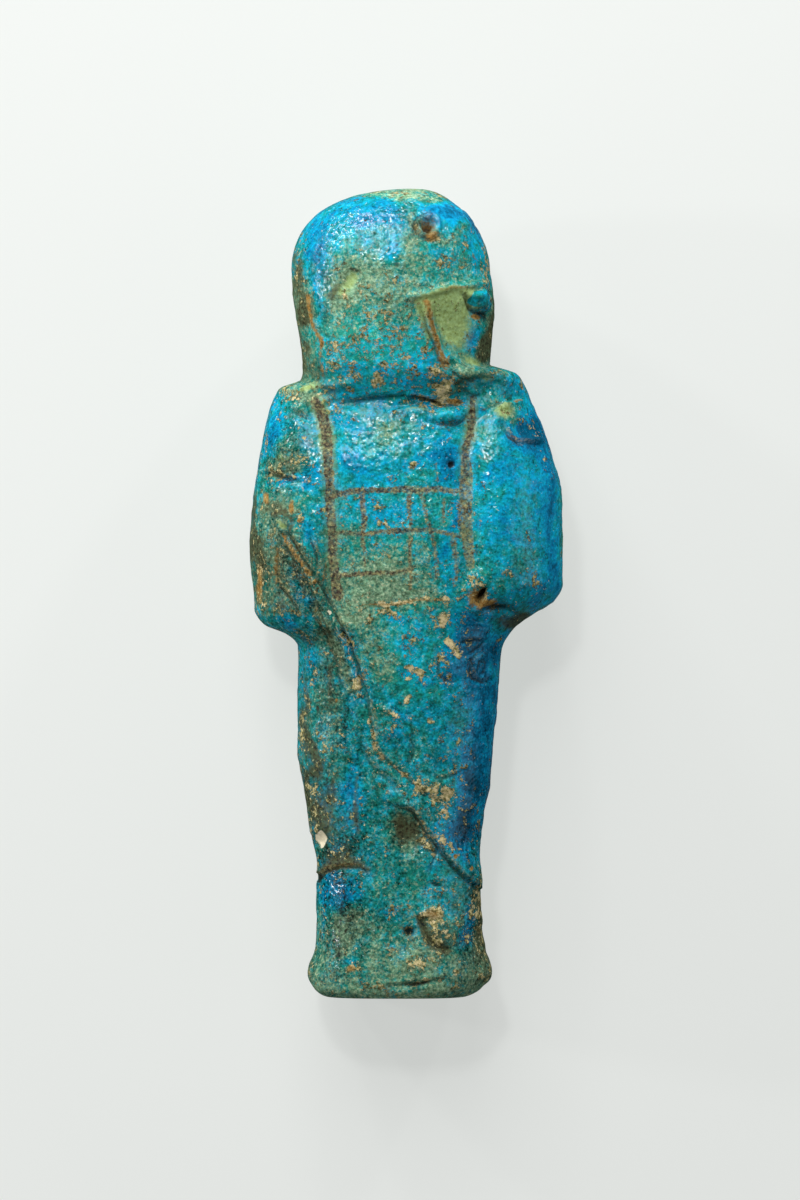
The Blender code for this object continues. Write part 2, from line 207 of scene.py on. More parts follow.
# Raised rings, in the same way, and last the half width of the ring itself.
RINGS = {
    "rim of the crown's pit": (3.8, 104.4, 1.4, 1.45, 0.6, 0, 0.32),
    "loop on the left elbow": (-15.7, 64.2, 1.15, 0.72, 0.36, -50, 0.34),
    "rim of the swirl": (10.9, 44.6, 1.5, 2.3, 0.2, -10, 0.22),
    "inner rim of the swirl": (11, 44.8, 0.75, 1.2, 0.16, -10, 0.18),
}

# Folds and creases: half width, height of the crease, height of the lip on the left-hand side as the
# route runs, and the route of (x, h).
CREASES = {
    "hole in the crown's pit": (0.2, -0.3, 0, [(3.2, 104.6), (3.4, 104), (4, 103.8), (4.4, 104.3),
        (4.3, 104.9), (3.7, 105.1), (3.2, 104.7)]),
    "outside of the pit's rim": (0.24, -0.36, 0.1, [(4.6, 106.1), (3.4, 106.2), (2.2, 105.4), (1.9, 104.2),
        (2.5, 102.9), (3.9, 102.4), (5.4, 102.9)]),
    "round the drop": (0.26, -0.34, 0, [(12.4, 95.6), (12.3, 93.9), (11.4, 92.8), (10.2, 93), (9.6, 94.2),
        (8.8, 95.2), (9.2, 96)]),
    "round the loop": (0.2, -0.3, 0.1, [(-14.9, 62.9), (-14.7, 63.9), (-15.5, 65), (-16.5, 65.3),
        (-16.8, 64.3), (-16, 63.2), (-15.2, 62.6)]),
    "second line of the scar's edge": (0.22, -0.3, 0.24, [(2.9, 93.4), (3.6, 91.2), (4.6, 88.8),
        (5.6, 86.6), (6.3, 84.8)]),
    "inside the scar's edge": (0.22, -0.26, 0, [(4.8, 93.2), (5.2, 91.2), (6, 89), (6.8, 86.8)]),
    "upper edge of the scar": (0.5, 0.5, 0, [(1.8, 94.9), (3.8, 95.4), (6.5, 96.1), (9.3, 96.6),
        (11.6, 96.9)]),
    "left edge of the scar": (0.4, 0.5, 0, [(3.7, 94), (4.3, 91.8), (5.1, 89.6), (5.8, 87.6), (6.4, 85.2)]),
    "crevice under the wig": (0.2, -0.62, 0.45, [(1.4, 81.6), (2.8, 81.3), (4.6, 81.2), (5.6, 80.6),
        (7, 80.3), (8.6, 80.9)]),
    "shadow line of the wig": (0.45, -0.34, 0.2, [(-9.4, 80.5), (-5, 80.9), (0.4, 81.6)]),
    "wig's lower right": (0.4, -0.42, 0.2, [(6.8, 86.2), (7.8, 84.4), (9.6, 83.4), (11.2, 84.2)]),
    "under the lump": (0.26, -0.42, 0, [(9.3, 79.2), (7.9, 77.9), (6, 77.8), (4.4, 78.5)]),
    "roll below the wig": (0.32, 0.3, -0.15, [(-1, 79.6), (1.2, 79.9), (3.4, 79.2), (4.4, 78.8)]),
    "left shoulder": (0.26, -0.4, 0.2, [(-14.4, 79.6), (-13.5, 79.3), (-12, 78.2)]),
    "left upper arm": (0.28, -0.5, 0.24, [(-17.8, 71.3), (-16.9, 70.8), (-15.6, 70.4), (-13.6, 69.8)]),
    "right shoulder": (0.3, -0.42, 0.28, [(13.6, 77.6), (14.6, 76.2), (16, 75.3), (18.6, 75.1)]),
    "right shoulder's ridge": (0.34, 0.3, -0.2, [(13, 79.6), (14.6, 80.3), (16.2, 81.3)]),
    "long fold": (0.24, -0.46, 0.16, [(-15.4, 63.8), (-14.8, 62.8), (-13.2, 60.1), (-11.6, 57.4),
        (-10.7, 56), (-9.4, 53.6), (-8.2, 51.2), (-6.6, 47), (-5.2, 44), (-4.3, 41)]),
    "low part of the long fold": (0.22, -0.26, 0.14, [(-5.4, 44.4), (-4.3, 41), (-3.9, 38.5), (-3.7, 36),
        (-3.3, 34), (-1.8, 32.4), (0.2, 30.9), (1.8, 29.4), (3.4, 27.9), (4.6, 27.2)]),
    "ridge below the long fold": (0.3, 0.42, 0, [(-16.2, 63.6), (-15.3, 62.2), (-13.7, 59.7), (-12.2, 57.2),
        (-11.2, 55.7), (-10, 53.4), (-8.8, 51), (-7.2, 46.9), (-5.8, 43.8), (-4.9, 41)]),
    "second fold": (0.22, -0.36, 0, [(-16, 62.4), (-14.9, 60.6), (-13.2, 57.6), (-11.9, 55.2),
        (-10.6, 52.2), (-9.3, 48.6), (-8, 45.4)]),
    "inner fold": (0.18, -0.26, 0.1, [(-7.6, 49.4), (-6.1, 46), (-5.2, 43.4), (-4.6, 41.6)]),
    "short line on the elbow": (0.24, -0.44, 0.16, [(-15.1, 59.4), (-14.2, 57.6), (-13.2, 55.6),
        (-12.6, 53.8)]),
    "outer fold": (0.26, -0.4, 0.18, [(-12.4, 53.4), (-11.2, 51.2), (-10.4, 49.6), (-9.3, 47.1),
        (-8.1, 43.8), (-7.4, 41.8)]),
    "low fold": (0.45, -0.2, 0.12, [(-5.5, 34.4), (-4.6, 32.5), (-3.2, 31), (-1.4, 29.5), (-0.2, 28.4)]),
    "short fold by the strap": (0.22, -0.48, 0.2, [(-12.3, 63.2), (-12.1, 62), (-11.3, 60.6), (-11, 59.2),
        (-11.6, 57.6)]),
    "other short fold": (0.2, -0.36, 0.14, [(-9.7, 58.8), (-10, 57.3), (-10.3, 55.9)]),
    "curve on the elbow": (0.26, -0.42, 0.2, [(-16.4, 61.6), (-16.9, 59.2), (-16.8, 57.3), (-16.4, 55.9),
        (-15.3, 54.6), (-14.1, 52.7), (-13.4, 51.3)]),
    "under the right elbow": (0.32, -0.5, 0.1, [(11.6, 52.9), (13.2, 52.6), (15.2, 52.6)]),
    "line across the hip": (0.2, -0.32, 0.1, [(8.3, 48.4), (10, 48.5), (11.8, 48.4)]),
    "slanting line on the hip": (0.2, -0.32, 0.1, [(9.3, 46.8), (10.4, 47.4), (11.5, 48.1)]),
    "edge of the hip's crust": (0.22, -0.32, 0, [(5.1, 47.6), (5.2, 45), (5.9, 43.2), (7.2, 42.6),
        (8.2, 43.2)]),
    "scar on the thigh": (0.24, 0.3, 0, [(-2.5, 39.3), (-1.4, 38.9), (-0.4, 38.2)]),
    "upright on the thigh": (0.24, -0.3, 0, [(1.8, 35.6), (1.8, 34), (1.6, 32.2)]),
    "fold over the crack": (0.3, -0.14, 0.12, [(3.6, 30.6), (5.4, 29.8), (7.2, 30.2), (8.6, 31)]),
    "round the swirl": (0.24, -0.4, 0.1, [(11.4, 47), (10.3, 46.8), (9.6, 45.6), (9.6, 44.2), (10.3, 43.2),
        (11.5, 42.8), (12.6, 43.4)]),
    "inside the swirl": (0.2, -0.32, 0, [(10.6, 44.4), (10.6, 45.6), (11.2, 46), (11.8, 45.4), (11.6, 44.4),
        (11, 44)]),
    "stain on the shin": (0.28, -0.34, 0.14, [(-11.2, 16.3), (-10.2, 16.9), (-9.2, 17.5), (-7.4, 17.7),
        (-5.8, 17.8), (-4.5, 17.1)]),
    "edge of the foot's crust": (0.3, -0.42, 0, [(2.9, 10.6), (3.4, 8.8), (4.6, 7.4), (6.4, 6.6)]),
    "line over the sole": (0.28, -0.26, 0.1, [(-1.5, 1.9), (1.2, 2.3), (4.4, 2.2), (6.2, 2.7)]),
    "branch of the crack": (0.18, -0.3, 0, [(5.2, 20), (4.5, 18.8), (4.2, 17)]),
}

# Steps: the side on the left of the route stands higher, and dies away over a distance. Rise,
# distance, depth and half width of the crack at its foot, and the route.
STEPS = {
    "flap over the crack": (0.65, 3.4, 0.5, 0.16, [(0.2, 26), (1.6, 25.5), (2.6, 23.9), (3.5, 22.5),
        (4.7, 20.8), (6.2, 19.1), (8, 17.2), (9.6, 15.8)]),
}

# The grain of the old glaze: size of its ripples and height, in parts.
GRAIN = [(6.5, 0.16), (2.6, 0.11), (1.1, 0.070), (0.55, 0.034)]
GRAIN_SEED = 20
# How places wander, so that edges get ragged, in layers: size, reach in parts, and a seed. The
# first is for lines and small marks, and the second for broad patches.
STRAY = [(2.4, 0.26, 11), (0.9, 0.12, 13)]
DRIFT = [(5.5, 1.5, 31), (2.1, 0.8, 33)]
# How far a point faces its own side, from -1 to 1, where that side's relief, the wear and the glaze
# of the back, and the gloss begin and are whole.
RELIEF_FADE = (0.15, 0.75)
WEAR_FADE = (-0.30, 0.20)
GLAZE_FADE = (-0.35, 0.10)
GLOSS_FADE = (0.35, 0.75)
LINE_SEAM = 0.05
# The grain and the wear come in over this share of the length above the sole.
SOLE_FADE = (0.0, 0.02)


def smooth_curve(points):
    """A function through (place, value) points that never swings past them.

    Between two points it is a cubic, whose slope at a point is the harmonic mean of the
    slopes on either side, or level where those two differ in sign.
    """
    place, value = np.array(points, float).T
    span = np.diff(place)
    slope = np.diff(value) / span
    tangent = np.concatenate([slope[:1], np.zeros(len(slope) - 1), slope[-1:]])
    before, after = slope[:-1], slope[1:]
    rising = before * after > 0
    tangent[1:-1][rising] = 2 * before[rising] * after[rising] / (before + after)[rising]

    def value_at(where):
        i = np.clip(np.searchsorted(place, where, side="right") - 1, 0, len(span) - 1)
        s = (where - place[i]) / span[i]
        return (
            value[i] * (1 + 2 * s) * (1 - s) ** 2
            + tangent[i] * span[i] * s * (1 - s) ** 2
            + value[i + 1] * s * s * (3 - 2 * s)
            + tangent[i + 1] * span[i] * s * s * (s - 1)
        )

    return value_at


def fade(value, low, high):
    """0 below low, 1 above high, and an even S between them."""
    s = np.clip((value - low) / (high - low), 0, 1)
    return s * s * (3 - 2 * s)


def reached(x, h, place, reach, turn=0):
    """Distance from a place as a share of an ellipse's reach, so it is 1 on the ellipse."""
    cos, sin = math.cos(math.radians(turn)), math.sin(math.radians(turn))
    across = (x - place[0]) * cos + (h - place[1]) * sin
    along = (h - place[1]) * cos - (x - place[0]) * sin
    return np.hypot(across / reach[0], along / reach[1])


def mound(x, h, place, reach, height, turn=0, fullness=1.0):
    """A rounded mound on an ellipse: highest at its middle and level with the skin at its rim."""
    return height * np.clip(1 - reached(x, h, place, reach, turn) ** 2, 0, 1) ** fullness


def patch(x, h, place, reach, turn=0):
    """A soft patch: 1 at its place, fading out as a bell curve over its reach."""
    return np.exp(-reached(x, h, place, reach, turn) ** 2)


def spots(table):
    """The rows of a table of lumps or patches as place, reach, amount, and what else they have."""
    for x, h, across, up, amount, *more in table.values():
        yield (x, h), (across, up), amount, *more


def limb(x, h, start, end, reaches, height):
    """A round-backed limb from start to end, whose reach changes evenly between them."""
    run = np.subtract(end, start)
    share = np.clip(((x - start[0]) * run[0] + (h - start[1]) * run[1]) / (run @ run), 0, 1)
    gap = np.hypot(x - start[0] - share * run[0], h - start[1] - share * run[1])
    reach = reaches[0] + share * (reaches[1] - reaches[0])
    return height * np.clip(1 - (gap / reach) ** 2, 0, 1) ** 0.85


def rounded(route):
    """The route with its corners cut twice, each corner a quarter of the way along its sides."""
    points = np.array(route, float)
    for _ in range(2):
        ahead, behind = points[:-1] * 0.75 + points[1:] * 0.25, points[:-1] * 0.25 + points[1:] * 0.75
        cut = np.stack([ahead, behind], axis=1).reshape(-1, points.shape[1])
        points = np.concatenate([points[:1], cut[1:-1], points[-1:]])
    return points


# The distance, in parts, of a point that no crease or line is near.
OUT_OF_REACH = 3.0


def beside(x, h, route, far=4.0):
    """How far each point lies from a route, and what the route carries at the nearest place.

    The distance is positive on the left of the route as it runs and negative on its right. The
    route's further columns, such as a half width, are blended along it.
    """
    points = rounded(route)
    low, high = points[:, :2].min(axis=0) - far, points[:, :2].max(axis=0) + far
    near = np.nonzero((x > low[0]) & (x < high[0]) & (h > low[1]) & (h < high[1]))
    x, h, shape = x[near], h[near], x.shape
    best, signed = np.full(x.shape, np.inf), np.zeros(x.shape)
    carried = np.zeros(x.shape + (points.shape[1] - 2,))
    for start, end in zip(points, points[1:]):
        run = end[:2] - start[:2]
        share = np.clip(((x - start[0]) * run[0] + (h - start[1]) * run[1]) / max(run @ run, 1e-12), 0, 1)
        across, along = x - start[0] - share * run[0], h - start[1] - share * run[1]
        gap = np.hypot(across, along)
        closer = gap < best
        best[closer] = gap[closer]
        signed[closer] = np.copysign(gap, run[0] * along - run[1] * across)[closer]
        carried[closer] = (start[2:] + share[:, None] * (end[2:] - start[2:]))[closer]
    every, every_carried = np.full(shape, far), np.zeros(shape + carried.shape[1:])
    every[near], every_carried[near] = signed, carried
    return every, every_carried


def groove(x, h, route, reach, height):
    """A soft valley along a route, or a ridge where the height is positive."""
    return height * np.exp(-(beside(x, h, route, 4 * reach)[0] / reach) ** 2)


def cloud(points, size, seed):
    """Smooth noise from -1 to 1: chance values on a cubic lattice, blended by S curves."""
    chance = np.random.default_rng(seed).uniform(-1, 1, 8192)
    cell = points / size + 64.0
    corner = np.floor(cell).astype(np.int64)
    share = cell - corner
    share = share * share * (3 - 2 * share)
    total = np.zeros(points.shape[:-1])
    for step in itertools.product((0, 1), repeat=3):
        i, j, k = np.moveaxis(corner + step, -1, 0)
        pick = (i * 73856093 ^ j * 19349663 ^ k * 83492791) % len(chance)
        total += chance[pick] * np.prod(np.where(step, share, 1 - share), axis=-1)
    return total


def ring_places(length, rounding):
    """Each ring's height share, size share and inset, from the sole's middle to the crown."""
    turns = np.linspace(0, math.pi / 2, ROUNDING_RINGS + 1)[1:]
    climb = rounding / length * (1 - np.cos(turns))
    body = np.linspace(climb[-1] * 1.15, CROWN_START, BODY_RINGS)
    rises = np.sin(np.linspace(0, math.pi / 2, CROWN_RINGS + 1)[1:-1])
    power = CROWN_SQUARENESS
    sole = np.linspace(0, 1, SOLE_RINGS + 1)[1:]
    height = np.concatenate([0 * sole, climb, body, CROWN_START + (1 - CROWN_START) * rises])
    size = np.concatenate([sole, 1 + 0 * turns, 1 + 0 * body, (1 - rises**power) ** (1 / power)])
    inset = np.concatenate([1 + 0 * sole, 1 - np.sin(turns), 0 * body, 0 * rises])
    return height[:, None], size[:, None], inset[:, None]


def plain_skin(sizes):
    """The figure before it is carved, as rings of points round a middle line.

    A ring is a superellipse in four quarters, each with its own reach: at the angle t from the
    back, its radius is (|sin t|^n + |cos t|^n)^(-1/n), stretched by the half width and half
    depth. It returns the points in metres, and how far each faces the back, from 1 to -1.
    """
    share, size, inset = ring_places(sizes.length, sizes.sole_rounding)
    low = np.minimum(share, CROWN_START)
    lean = (np.maximum(share - CROWN_START, 0) / (1 - CROWN_START)) ** CROWN_LEAN_POWER
    left, right = (smooth_curve(reach)(low) * sizes.width for reach in (LEFT_REACH, RIGHT_REACH))
    back, front = (smooth_curve(side)(low) * sizes.depth for side in (BACK_HEIGHT, FRONT_HEIGHT))
    middle_x = (right - left) / 2 * (1 - lean) + CROWN_LEAN * sizes.width * lean
    turned_in = sizes.sole_rounding * inset * size
    half_x, half_z = (right + left) / 2 * size - turned_in, (back - front) / 2 * size - turned_in
    even = np.linspace(0, 2 * math.pi, COLUMNS, endpoint=False)[None, :]
    turn = even - BACK_CROWDING * np.sin(even)
    powers = smooth_curve(BACK_SQUARENESS)(low), smooth_curve(FRONT_SQUARENESS)(low)
    power = np.where(np.cos(turn) > 0, *powers)
    radius = (np.abs(np.sin(turn)) ** power + np.abs(np.cos(turn)) ** power) ** (-1 / power)
    x = middle_x + half_x * radius * np.sin(turn)
    z = (back + front) / 2 + half_z * radius * np.cos(turn)
    y = np.broadcast_to(share * sizes.length, x.shape)
    kept = size * (1 - inset) * fade(share, *SOLE_FADE)
    return np.stack([x, y, z], axis=-1), radius * np.cos(turn), np.broadcast_to(kept, x.shape)


def nose_relief(x, h):
    """A wedge that widens and rises from between the brows to the tip, then drops to the lip."""
    down = np.clip((NOSE["top"] - h) / (NOSE["top"] - NOSE["tip"]), 0, 1)
    reach = NOSE["reaches"][0] + down**2 * (NOSE["reaches"][1] - NOSE["reaches"][0])
    ridge = np.clip(1 - (x / reach) ** 2, 0, 1) ** 0.9
    below = fade(h, NOSE["tip"] - 0.9, NOSE["tip"] + 0.3)
    return NOSE["height"] * (0.30 * fade(down, 0, 0.25) + 0.70 * down) * ridge * below


def face_oval(x, h):
    """0 in the middle of the face and 1 on its egg-shaped edge, which narrows to the chin."""
    down = np.clip((FACE["place"][1] - h) / FACE["reach"][1], 0, 1)
    reach = FACE["reach"][0] * (1 - FACE_TAPER * down**1.5)
    return np.hypot(x / reach, (h - FACE["place"][1]) / FACE["reach"][1])


def face_relief(x, h):
    """A calm, even face: an oval dome with nose, eyes, brows, cheeks, lips and chin on it."""
    mirrored = np.abs(x)
    relief = FACE["height"] * np.clip(1 - face_oval(x, h) ** 2.5, 0, 1)
    for feature in (SOCKET, EYE, CHEEK, LIPS, CHIN):
        relief += mound(mirrored, h, **feature)
    return relief + groove(mirrored, h, **BROW) + groove(x, h, **MOUTH) + nose_relief(x, h)


def wig_relief(x, h):
    """The wig's thickness: it frames the face, and two lappets hang before the shoulders."""
    mirrored, edge = np.abs(x), WIG["edge"]
    beside_throat = fade(mirrored, WIG["inner"] - edge, WIG["inner"] + edge)
    on_lappet = 1 - fade(mirrored, WIG["outer"] - edge, WIG["outer"] + edge)
    mask = fade(face_oval(x, h), *FACE_RIM)
    mask = mask * np.maximum(beside_throat, fade(h, *THROAT))
    mask = mask * np.maximum(on_lappet, fade(h, *SHOULDER))
    return WIG["height"] * mask * fade(h, WIG["low"] - edge, WIG["low"] + edge)


def front_relief(x, h):
    """Everything that stands out from the front: wig, face, ears, arms and fists."""
    mirrored = np.abs(x)
    head = wig_relief(x, h) + face_relief(x, h) + mound(mirrored, h, **EAR)
    arms = np.maximum(limb(x, h, **OVER_FOREARM), limb(x, h, **UNDER_FOREARM))
    arms = np.maximum(arms, mound(mirrored, h, **FIST))
    arms = np.maximum(arms, limb(mirrored, h, **UPPER_ARM))
    return np.maximum(head, arms)


def back_relief(x, h):
    """The valleys under the wig and beside the arms, and the arms' own roundness."""
    arms = np.maximum(limb(x, h, **LEFT_ARM), limb(x, h, **RIGHT_ARM))
    valleys = groove(x, h, **WIG_EDGE)
    for armpit in (LEFT_ARMPIT, RIGHT_ARMPIT):
        valleys = np.minimum(valleys, groove(x, h, **armpit))
    return arms + valleys


def crease_relief(x, h, reach, height, lip, route):
    """A crease, height * exp(-(d / reach)^2), and a lip of the same form on its left."""
    gap = beside(x, h, route)[0]
    return height * np.exp(-(gap / reach) ** 2), lip * np.exp(-((gap - 1.9 * reach) / reach) ** 2)


def nearest_crease(x, h):
    """Signed distance from the nearest crease, how dark its foot is, as painted shade, and how pale its lip,
    partly tan crust and partly painted highlight.

    Both fade in over the first stretch of the crease, then weaken towards its end.
    """
    gap, dark, pale = np.full(x.shape, OUT_OF_REACH), np.zeros(x.shape), np.zeros(x.shape)
    creases = [row[1:] for row in CREASES.values() if row[1] < 0]
    cracks = [(-depth, 0.25, route) for _, _, depth, _, route in STEPS.values()]
    for height, lip, route in creases + cracks:
        last = len(route) - 1
        whole = [(*point, (0 < i < last) * (1 - 0.45 * i / last)) for i, point in enumerate(route)]
        middle, carried = beside(x, h, whole, 2.0)
        closer = np.abs(middle) < np.abs(gap)
        gap[closer] = middle[closer]
        dark[closer] = np.clip(-2.3 * height, 0, 1.0) * carried[..., 0][closer]
        pale[closer] = np.clip(3.5 * lip, 0, 1) * carried[..., 0][closer]
    return gap, dark, pale


def step_relief(x, h, rise, distance, depth, reach, route):
    """A step up to the left of the route, which dies away, with a crack at its foot."""
    gap = beside(x, h, route, 2 * distance)[0]
    raised = rise * fade(gap, -reach, reach) * np.exp(-2 * (gap / distance) ** 2)
    return -depth * np.exp(-(gap / reach) ** 2), raised


def wear_relief(x, h):
    """All folds, cracks, lumps and hollows of the back, and how deep its cuts alone go."""
    relief = np.zeros(x.shape)
    for table, fullness in ((LUMPS, 1.4), (DROPS, 0.5)):
        for lump in spots(table):
            relief += mound(x, h, *lump, fullness=fullness)
    for place, reach, height, turn, half_width in spots(RINGS):
        gap = (reached(x, h, place, reach, turn) - 1) * min(reach)
        relief += height * np.exp(-(gap / half_width) ** 2)
    cuts = np.zeros(x.shape)
    strokes = [crease_relief(x, h, *crease) for crease in CREASES.values()]
    strokes += [step_relief(x, h, *step) for step in STEPS.values()]
    for stroke, beside_it in strokes:
        relief += stroke + beside_it
        cuts = np.minimum(cuts, stroke)
    return relief, cuts


def outward(points):
    """Each point's unit normal, from its neighbours on the rings and across them."""
    across = np.roll(points, -1, axis=1) - np.roll(points, 1, axis=1)
    normal = np.cross(across, np.gradient(points, axis=0))
    return normal / np.maximum(np.linalg.norm(normal, axis=-1, keepdims=True), 1e-12)


# Which glaze shade prevails up the back, as (h, value): 0 is olive and 1 is navy.
SHADE_UP_THE_BACK = [
    (0, 0.28), (5, 0.3), (14, 0.42), (30, 0.45), (46, 0.46), (54, 0.39), (64, 0.42), (74, 0.51), (84, 0.5),
    (94, 0.4), (100, 0.45), (106, 0.54), (110, 0.44),
]
# How light the glaze is up the back: 0 is as the shade gives, and -1 is near black.
# Lighter towards the head and darker towards the sole: partly the glaze's own tone, partly painted light.
TONE_AND_PAINTED_LIGHT_UP_THE_BACK = [
    (0, -0.2), (8, -0.12), (24, -0.2), (40, -0.1), (54, 0.02), (70, 0.08), (84, 0.05), (110, 0.18),
]

# Patches of the back for each value that the glaze has: x, h, reach across, reach up, amount, and a
# turn in degrees where the patch slants.
GLAZE_SHADE = {
    "blue crown": (-3.5, 106, 8.5, 2.4, 0.1, 4),
    "blue left temple": (-11, 99.6, 1.7, 5.8, 0.34, -4),
    "green middle of the wig": (-1.5, 97, 6, 4, -0.22),
    "green left of the wig": (-7, 95, 3.2, 3.6, -0.22, 20),
    "blue spot on the wig": (-1.3, 101.4, 0.9, 1.8, 0.26),
    "green beside the pit": (1.6, 102, 1.6, 2.2, -0.14),
    "blue right of the crown": (11, 101.5, 1.5, 3.6, 0.18, 10),
    "green round the pool": (7.4, 103.2, 4.6, 1, -0.24, -8),
    "green over the pool": (4.4, 108.6, 6, 0.9, -0.24, -8),
    "pool of glaze on the crown": (7.6, 106, 3.6, 1.9, 0.3, -10),
    "right of the wig": (8, 99.5, 4, 2.6, -0.04),
    "green left of the pit": (1.2, 105.2, 1.3, 2.2, -0.34),
    "blue under the wig's middle": (-2, 87, 6.5, 4.4, 0.08),
    "blue beside the scar": (3.2, 87.5, 2.2, 5, 0.08, 10),
    "drop of glaze": (10.9, 94.7, 1.7, 2, 0.1),
    "blue under the drop": (10.2, 89.6, 0.8, 1.4, 0.3),
    "left side of the head": (-13.8, 91, 1.4, 8, -0.4, 8),
    "right side of the head": (12.6, 90, 1.2, 5, -0.35),
    "rim of the crown": (-1, 109.3, 10, 0.8, -0.12),
    "green of the wig's lower right": (9.4, 85.4, 2.2, 1.8, -0.26),
    "left shoulder's top": (-14.6, 82, 3, 1.2, -0.3, -20),
    "left shoulder's edge": (-17, 77, 0.9, 3.4, 0.3, -20),
    "olive on the left shoulder": (-15, 72.8, 2.4, 2, -0.26),
    "blue by the left strap": (-11.6, 72, 1.2, 5, 0.14),
    "blue under the dip": (-14.4, 70.9, 1.8, 0.7, 0.3, -10),
    "upper back": (-5, 73, 4, 3.6, 0.16),
    "green on the upper back": (-2.6, 76.2, 2.4, 2.2, -0.24),
    "upper back on the right": (6, 72.2, 1.7, 3, 0.38),
    "blue square in the bag": (7.1, 64.7, 0.8, 1.5, 0.4),
    "in the bag": (-2, 65.8, 6, 2, 0.1),
    "green below the bag": (-2, 57, 6, 2.6, -0.24),
    "low on the wig": (-1, 87.5, 9, 3.6, -0.09),
    "waist": (0.5, 47, 5, 5, 0.06),
    "shin": (2, 15, 5, 5, -0.03),
    "olive under the bag": (-2.4, 54.8, 5, 1.2, -0.2),
    "pale green by the left strap": (-5, 51.6, 2.2, 1.8, -0.34),
    "blue under the bag": (-0.1, 52, 1.2, 1, 0.24),
    "blue right of the bag": (6.6, 59, 1.3, 3.6, 0.24),
    "right arm": (15.5, 66, 5.5, 11, 0.14),
    "right arm's edge": (20.8, 64, 1.9, 11, 0.32),
    "green on the right arm": (12.6, 74.6, 2, 1.6, -0.1),
    "right shoulder's edge": (18.4, 77.6, 2, 3.8, 0.36, 25),
    "dent on the right shoulder": (16.4, 77, 1.5, 1.5, 0.5, 30),
    "green on the right shoulder": (14.2, 79.2, 1.5, 1.4, -0.42, -30),
    "right elbow": (17.5, 55.5, 4.5, 2, 0.24, 20),
    "left arm": (-16.5, 60, 3, 6.5, -0.16),
    "left shoulder": (-14.5, 75.5, 3, 4, -0.1),
    "blue on the left folds": (-12.4, 62.6, 1, 2.4, 0.22),
    "blue in the left folds": (-13.6, 55.4, 1, 1.6, 0.26, 30),
    "blue on the left elbow": (-15.2, 51.6, 2.4, 1.2, 0.2),
    "olive above the loop": (-15.4, 66.2, 2.6, 1.4, -0.28),
    "waist on the right": (9.4, 48.5, 3, 6, 0.4),
    "right flank": (12, 37, 2.8, 12, 0.36, -4),
    "thigh on the right": (9.6, 28, 3, 6, 0.3),
    "over the crack": (8, 22.6, 2.8, 4, 0.32),
    "middle of the thighs": (3.2, 41, 3.6, 4.4, 0.08),
    "olive beside the folds": (-2.6, 46.5, 1.5, 3.4, -0.24, 10),
    "left flank": (-11.8, 47, 1.4, 5, 0.04),
    "rope of the folds": (-8, 47, 0.8, 4.6, -0.22, 30),
    "dark green of the left thigh": (-9.4, 40, 1.6, 8, -0.14),
    "blue on the left thigh": (-7.3, 28, 1.3, 3.2, 0.26),
    "left shin": (-7.6, 15, 2.8, 2.4, 0.36),
    "middle of the shin": (4.4, 17, 3.6, 2.8, 0.08),
    "olive under the crack": (1.8, 22.6, 2, 3, -0.3, 15),
    "grey-green on the foot": (-7.6, 10.4, 2, 2.4, -0.24),
    "blue on the foot": (-6.4, 5.8, 1.3, 1.2, 0.3),
    "blue streak by the foot's crust": (9.3, 8.7, 0.7, 2.4, 0.4),
    "foot's right": (11.2, 8, 1.2, 6, -0.2),
    "green on the foot": (2.4, 5.6, 3, 2, -0.16),
    "rim of the sole": (0, 0.6, 14, 1.4, -0.1),
}
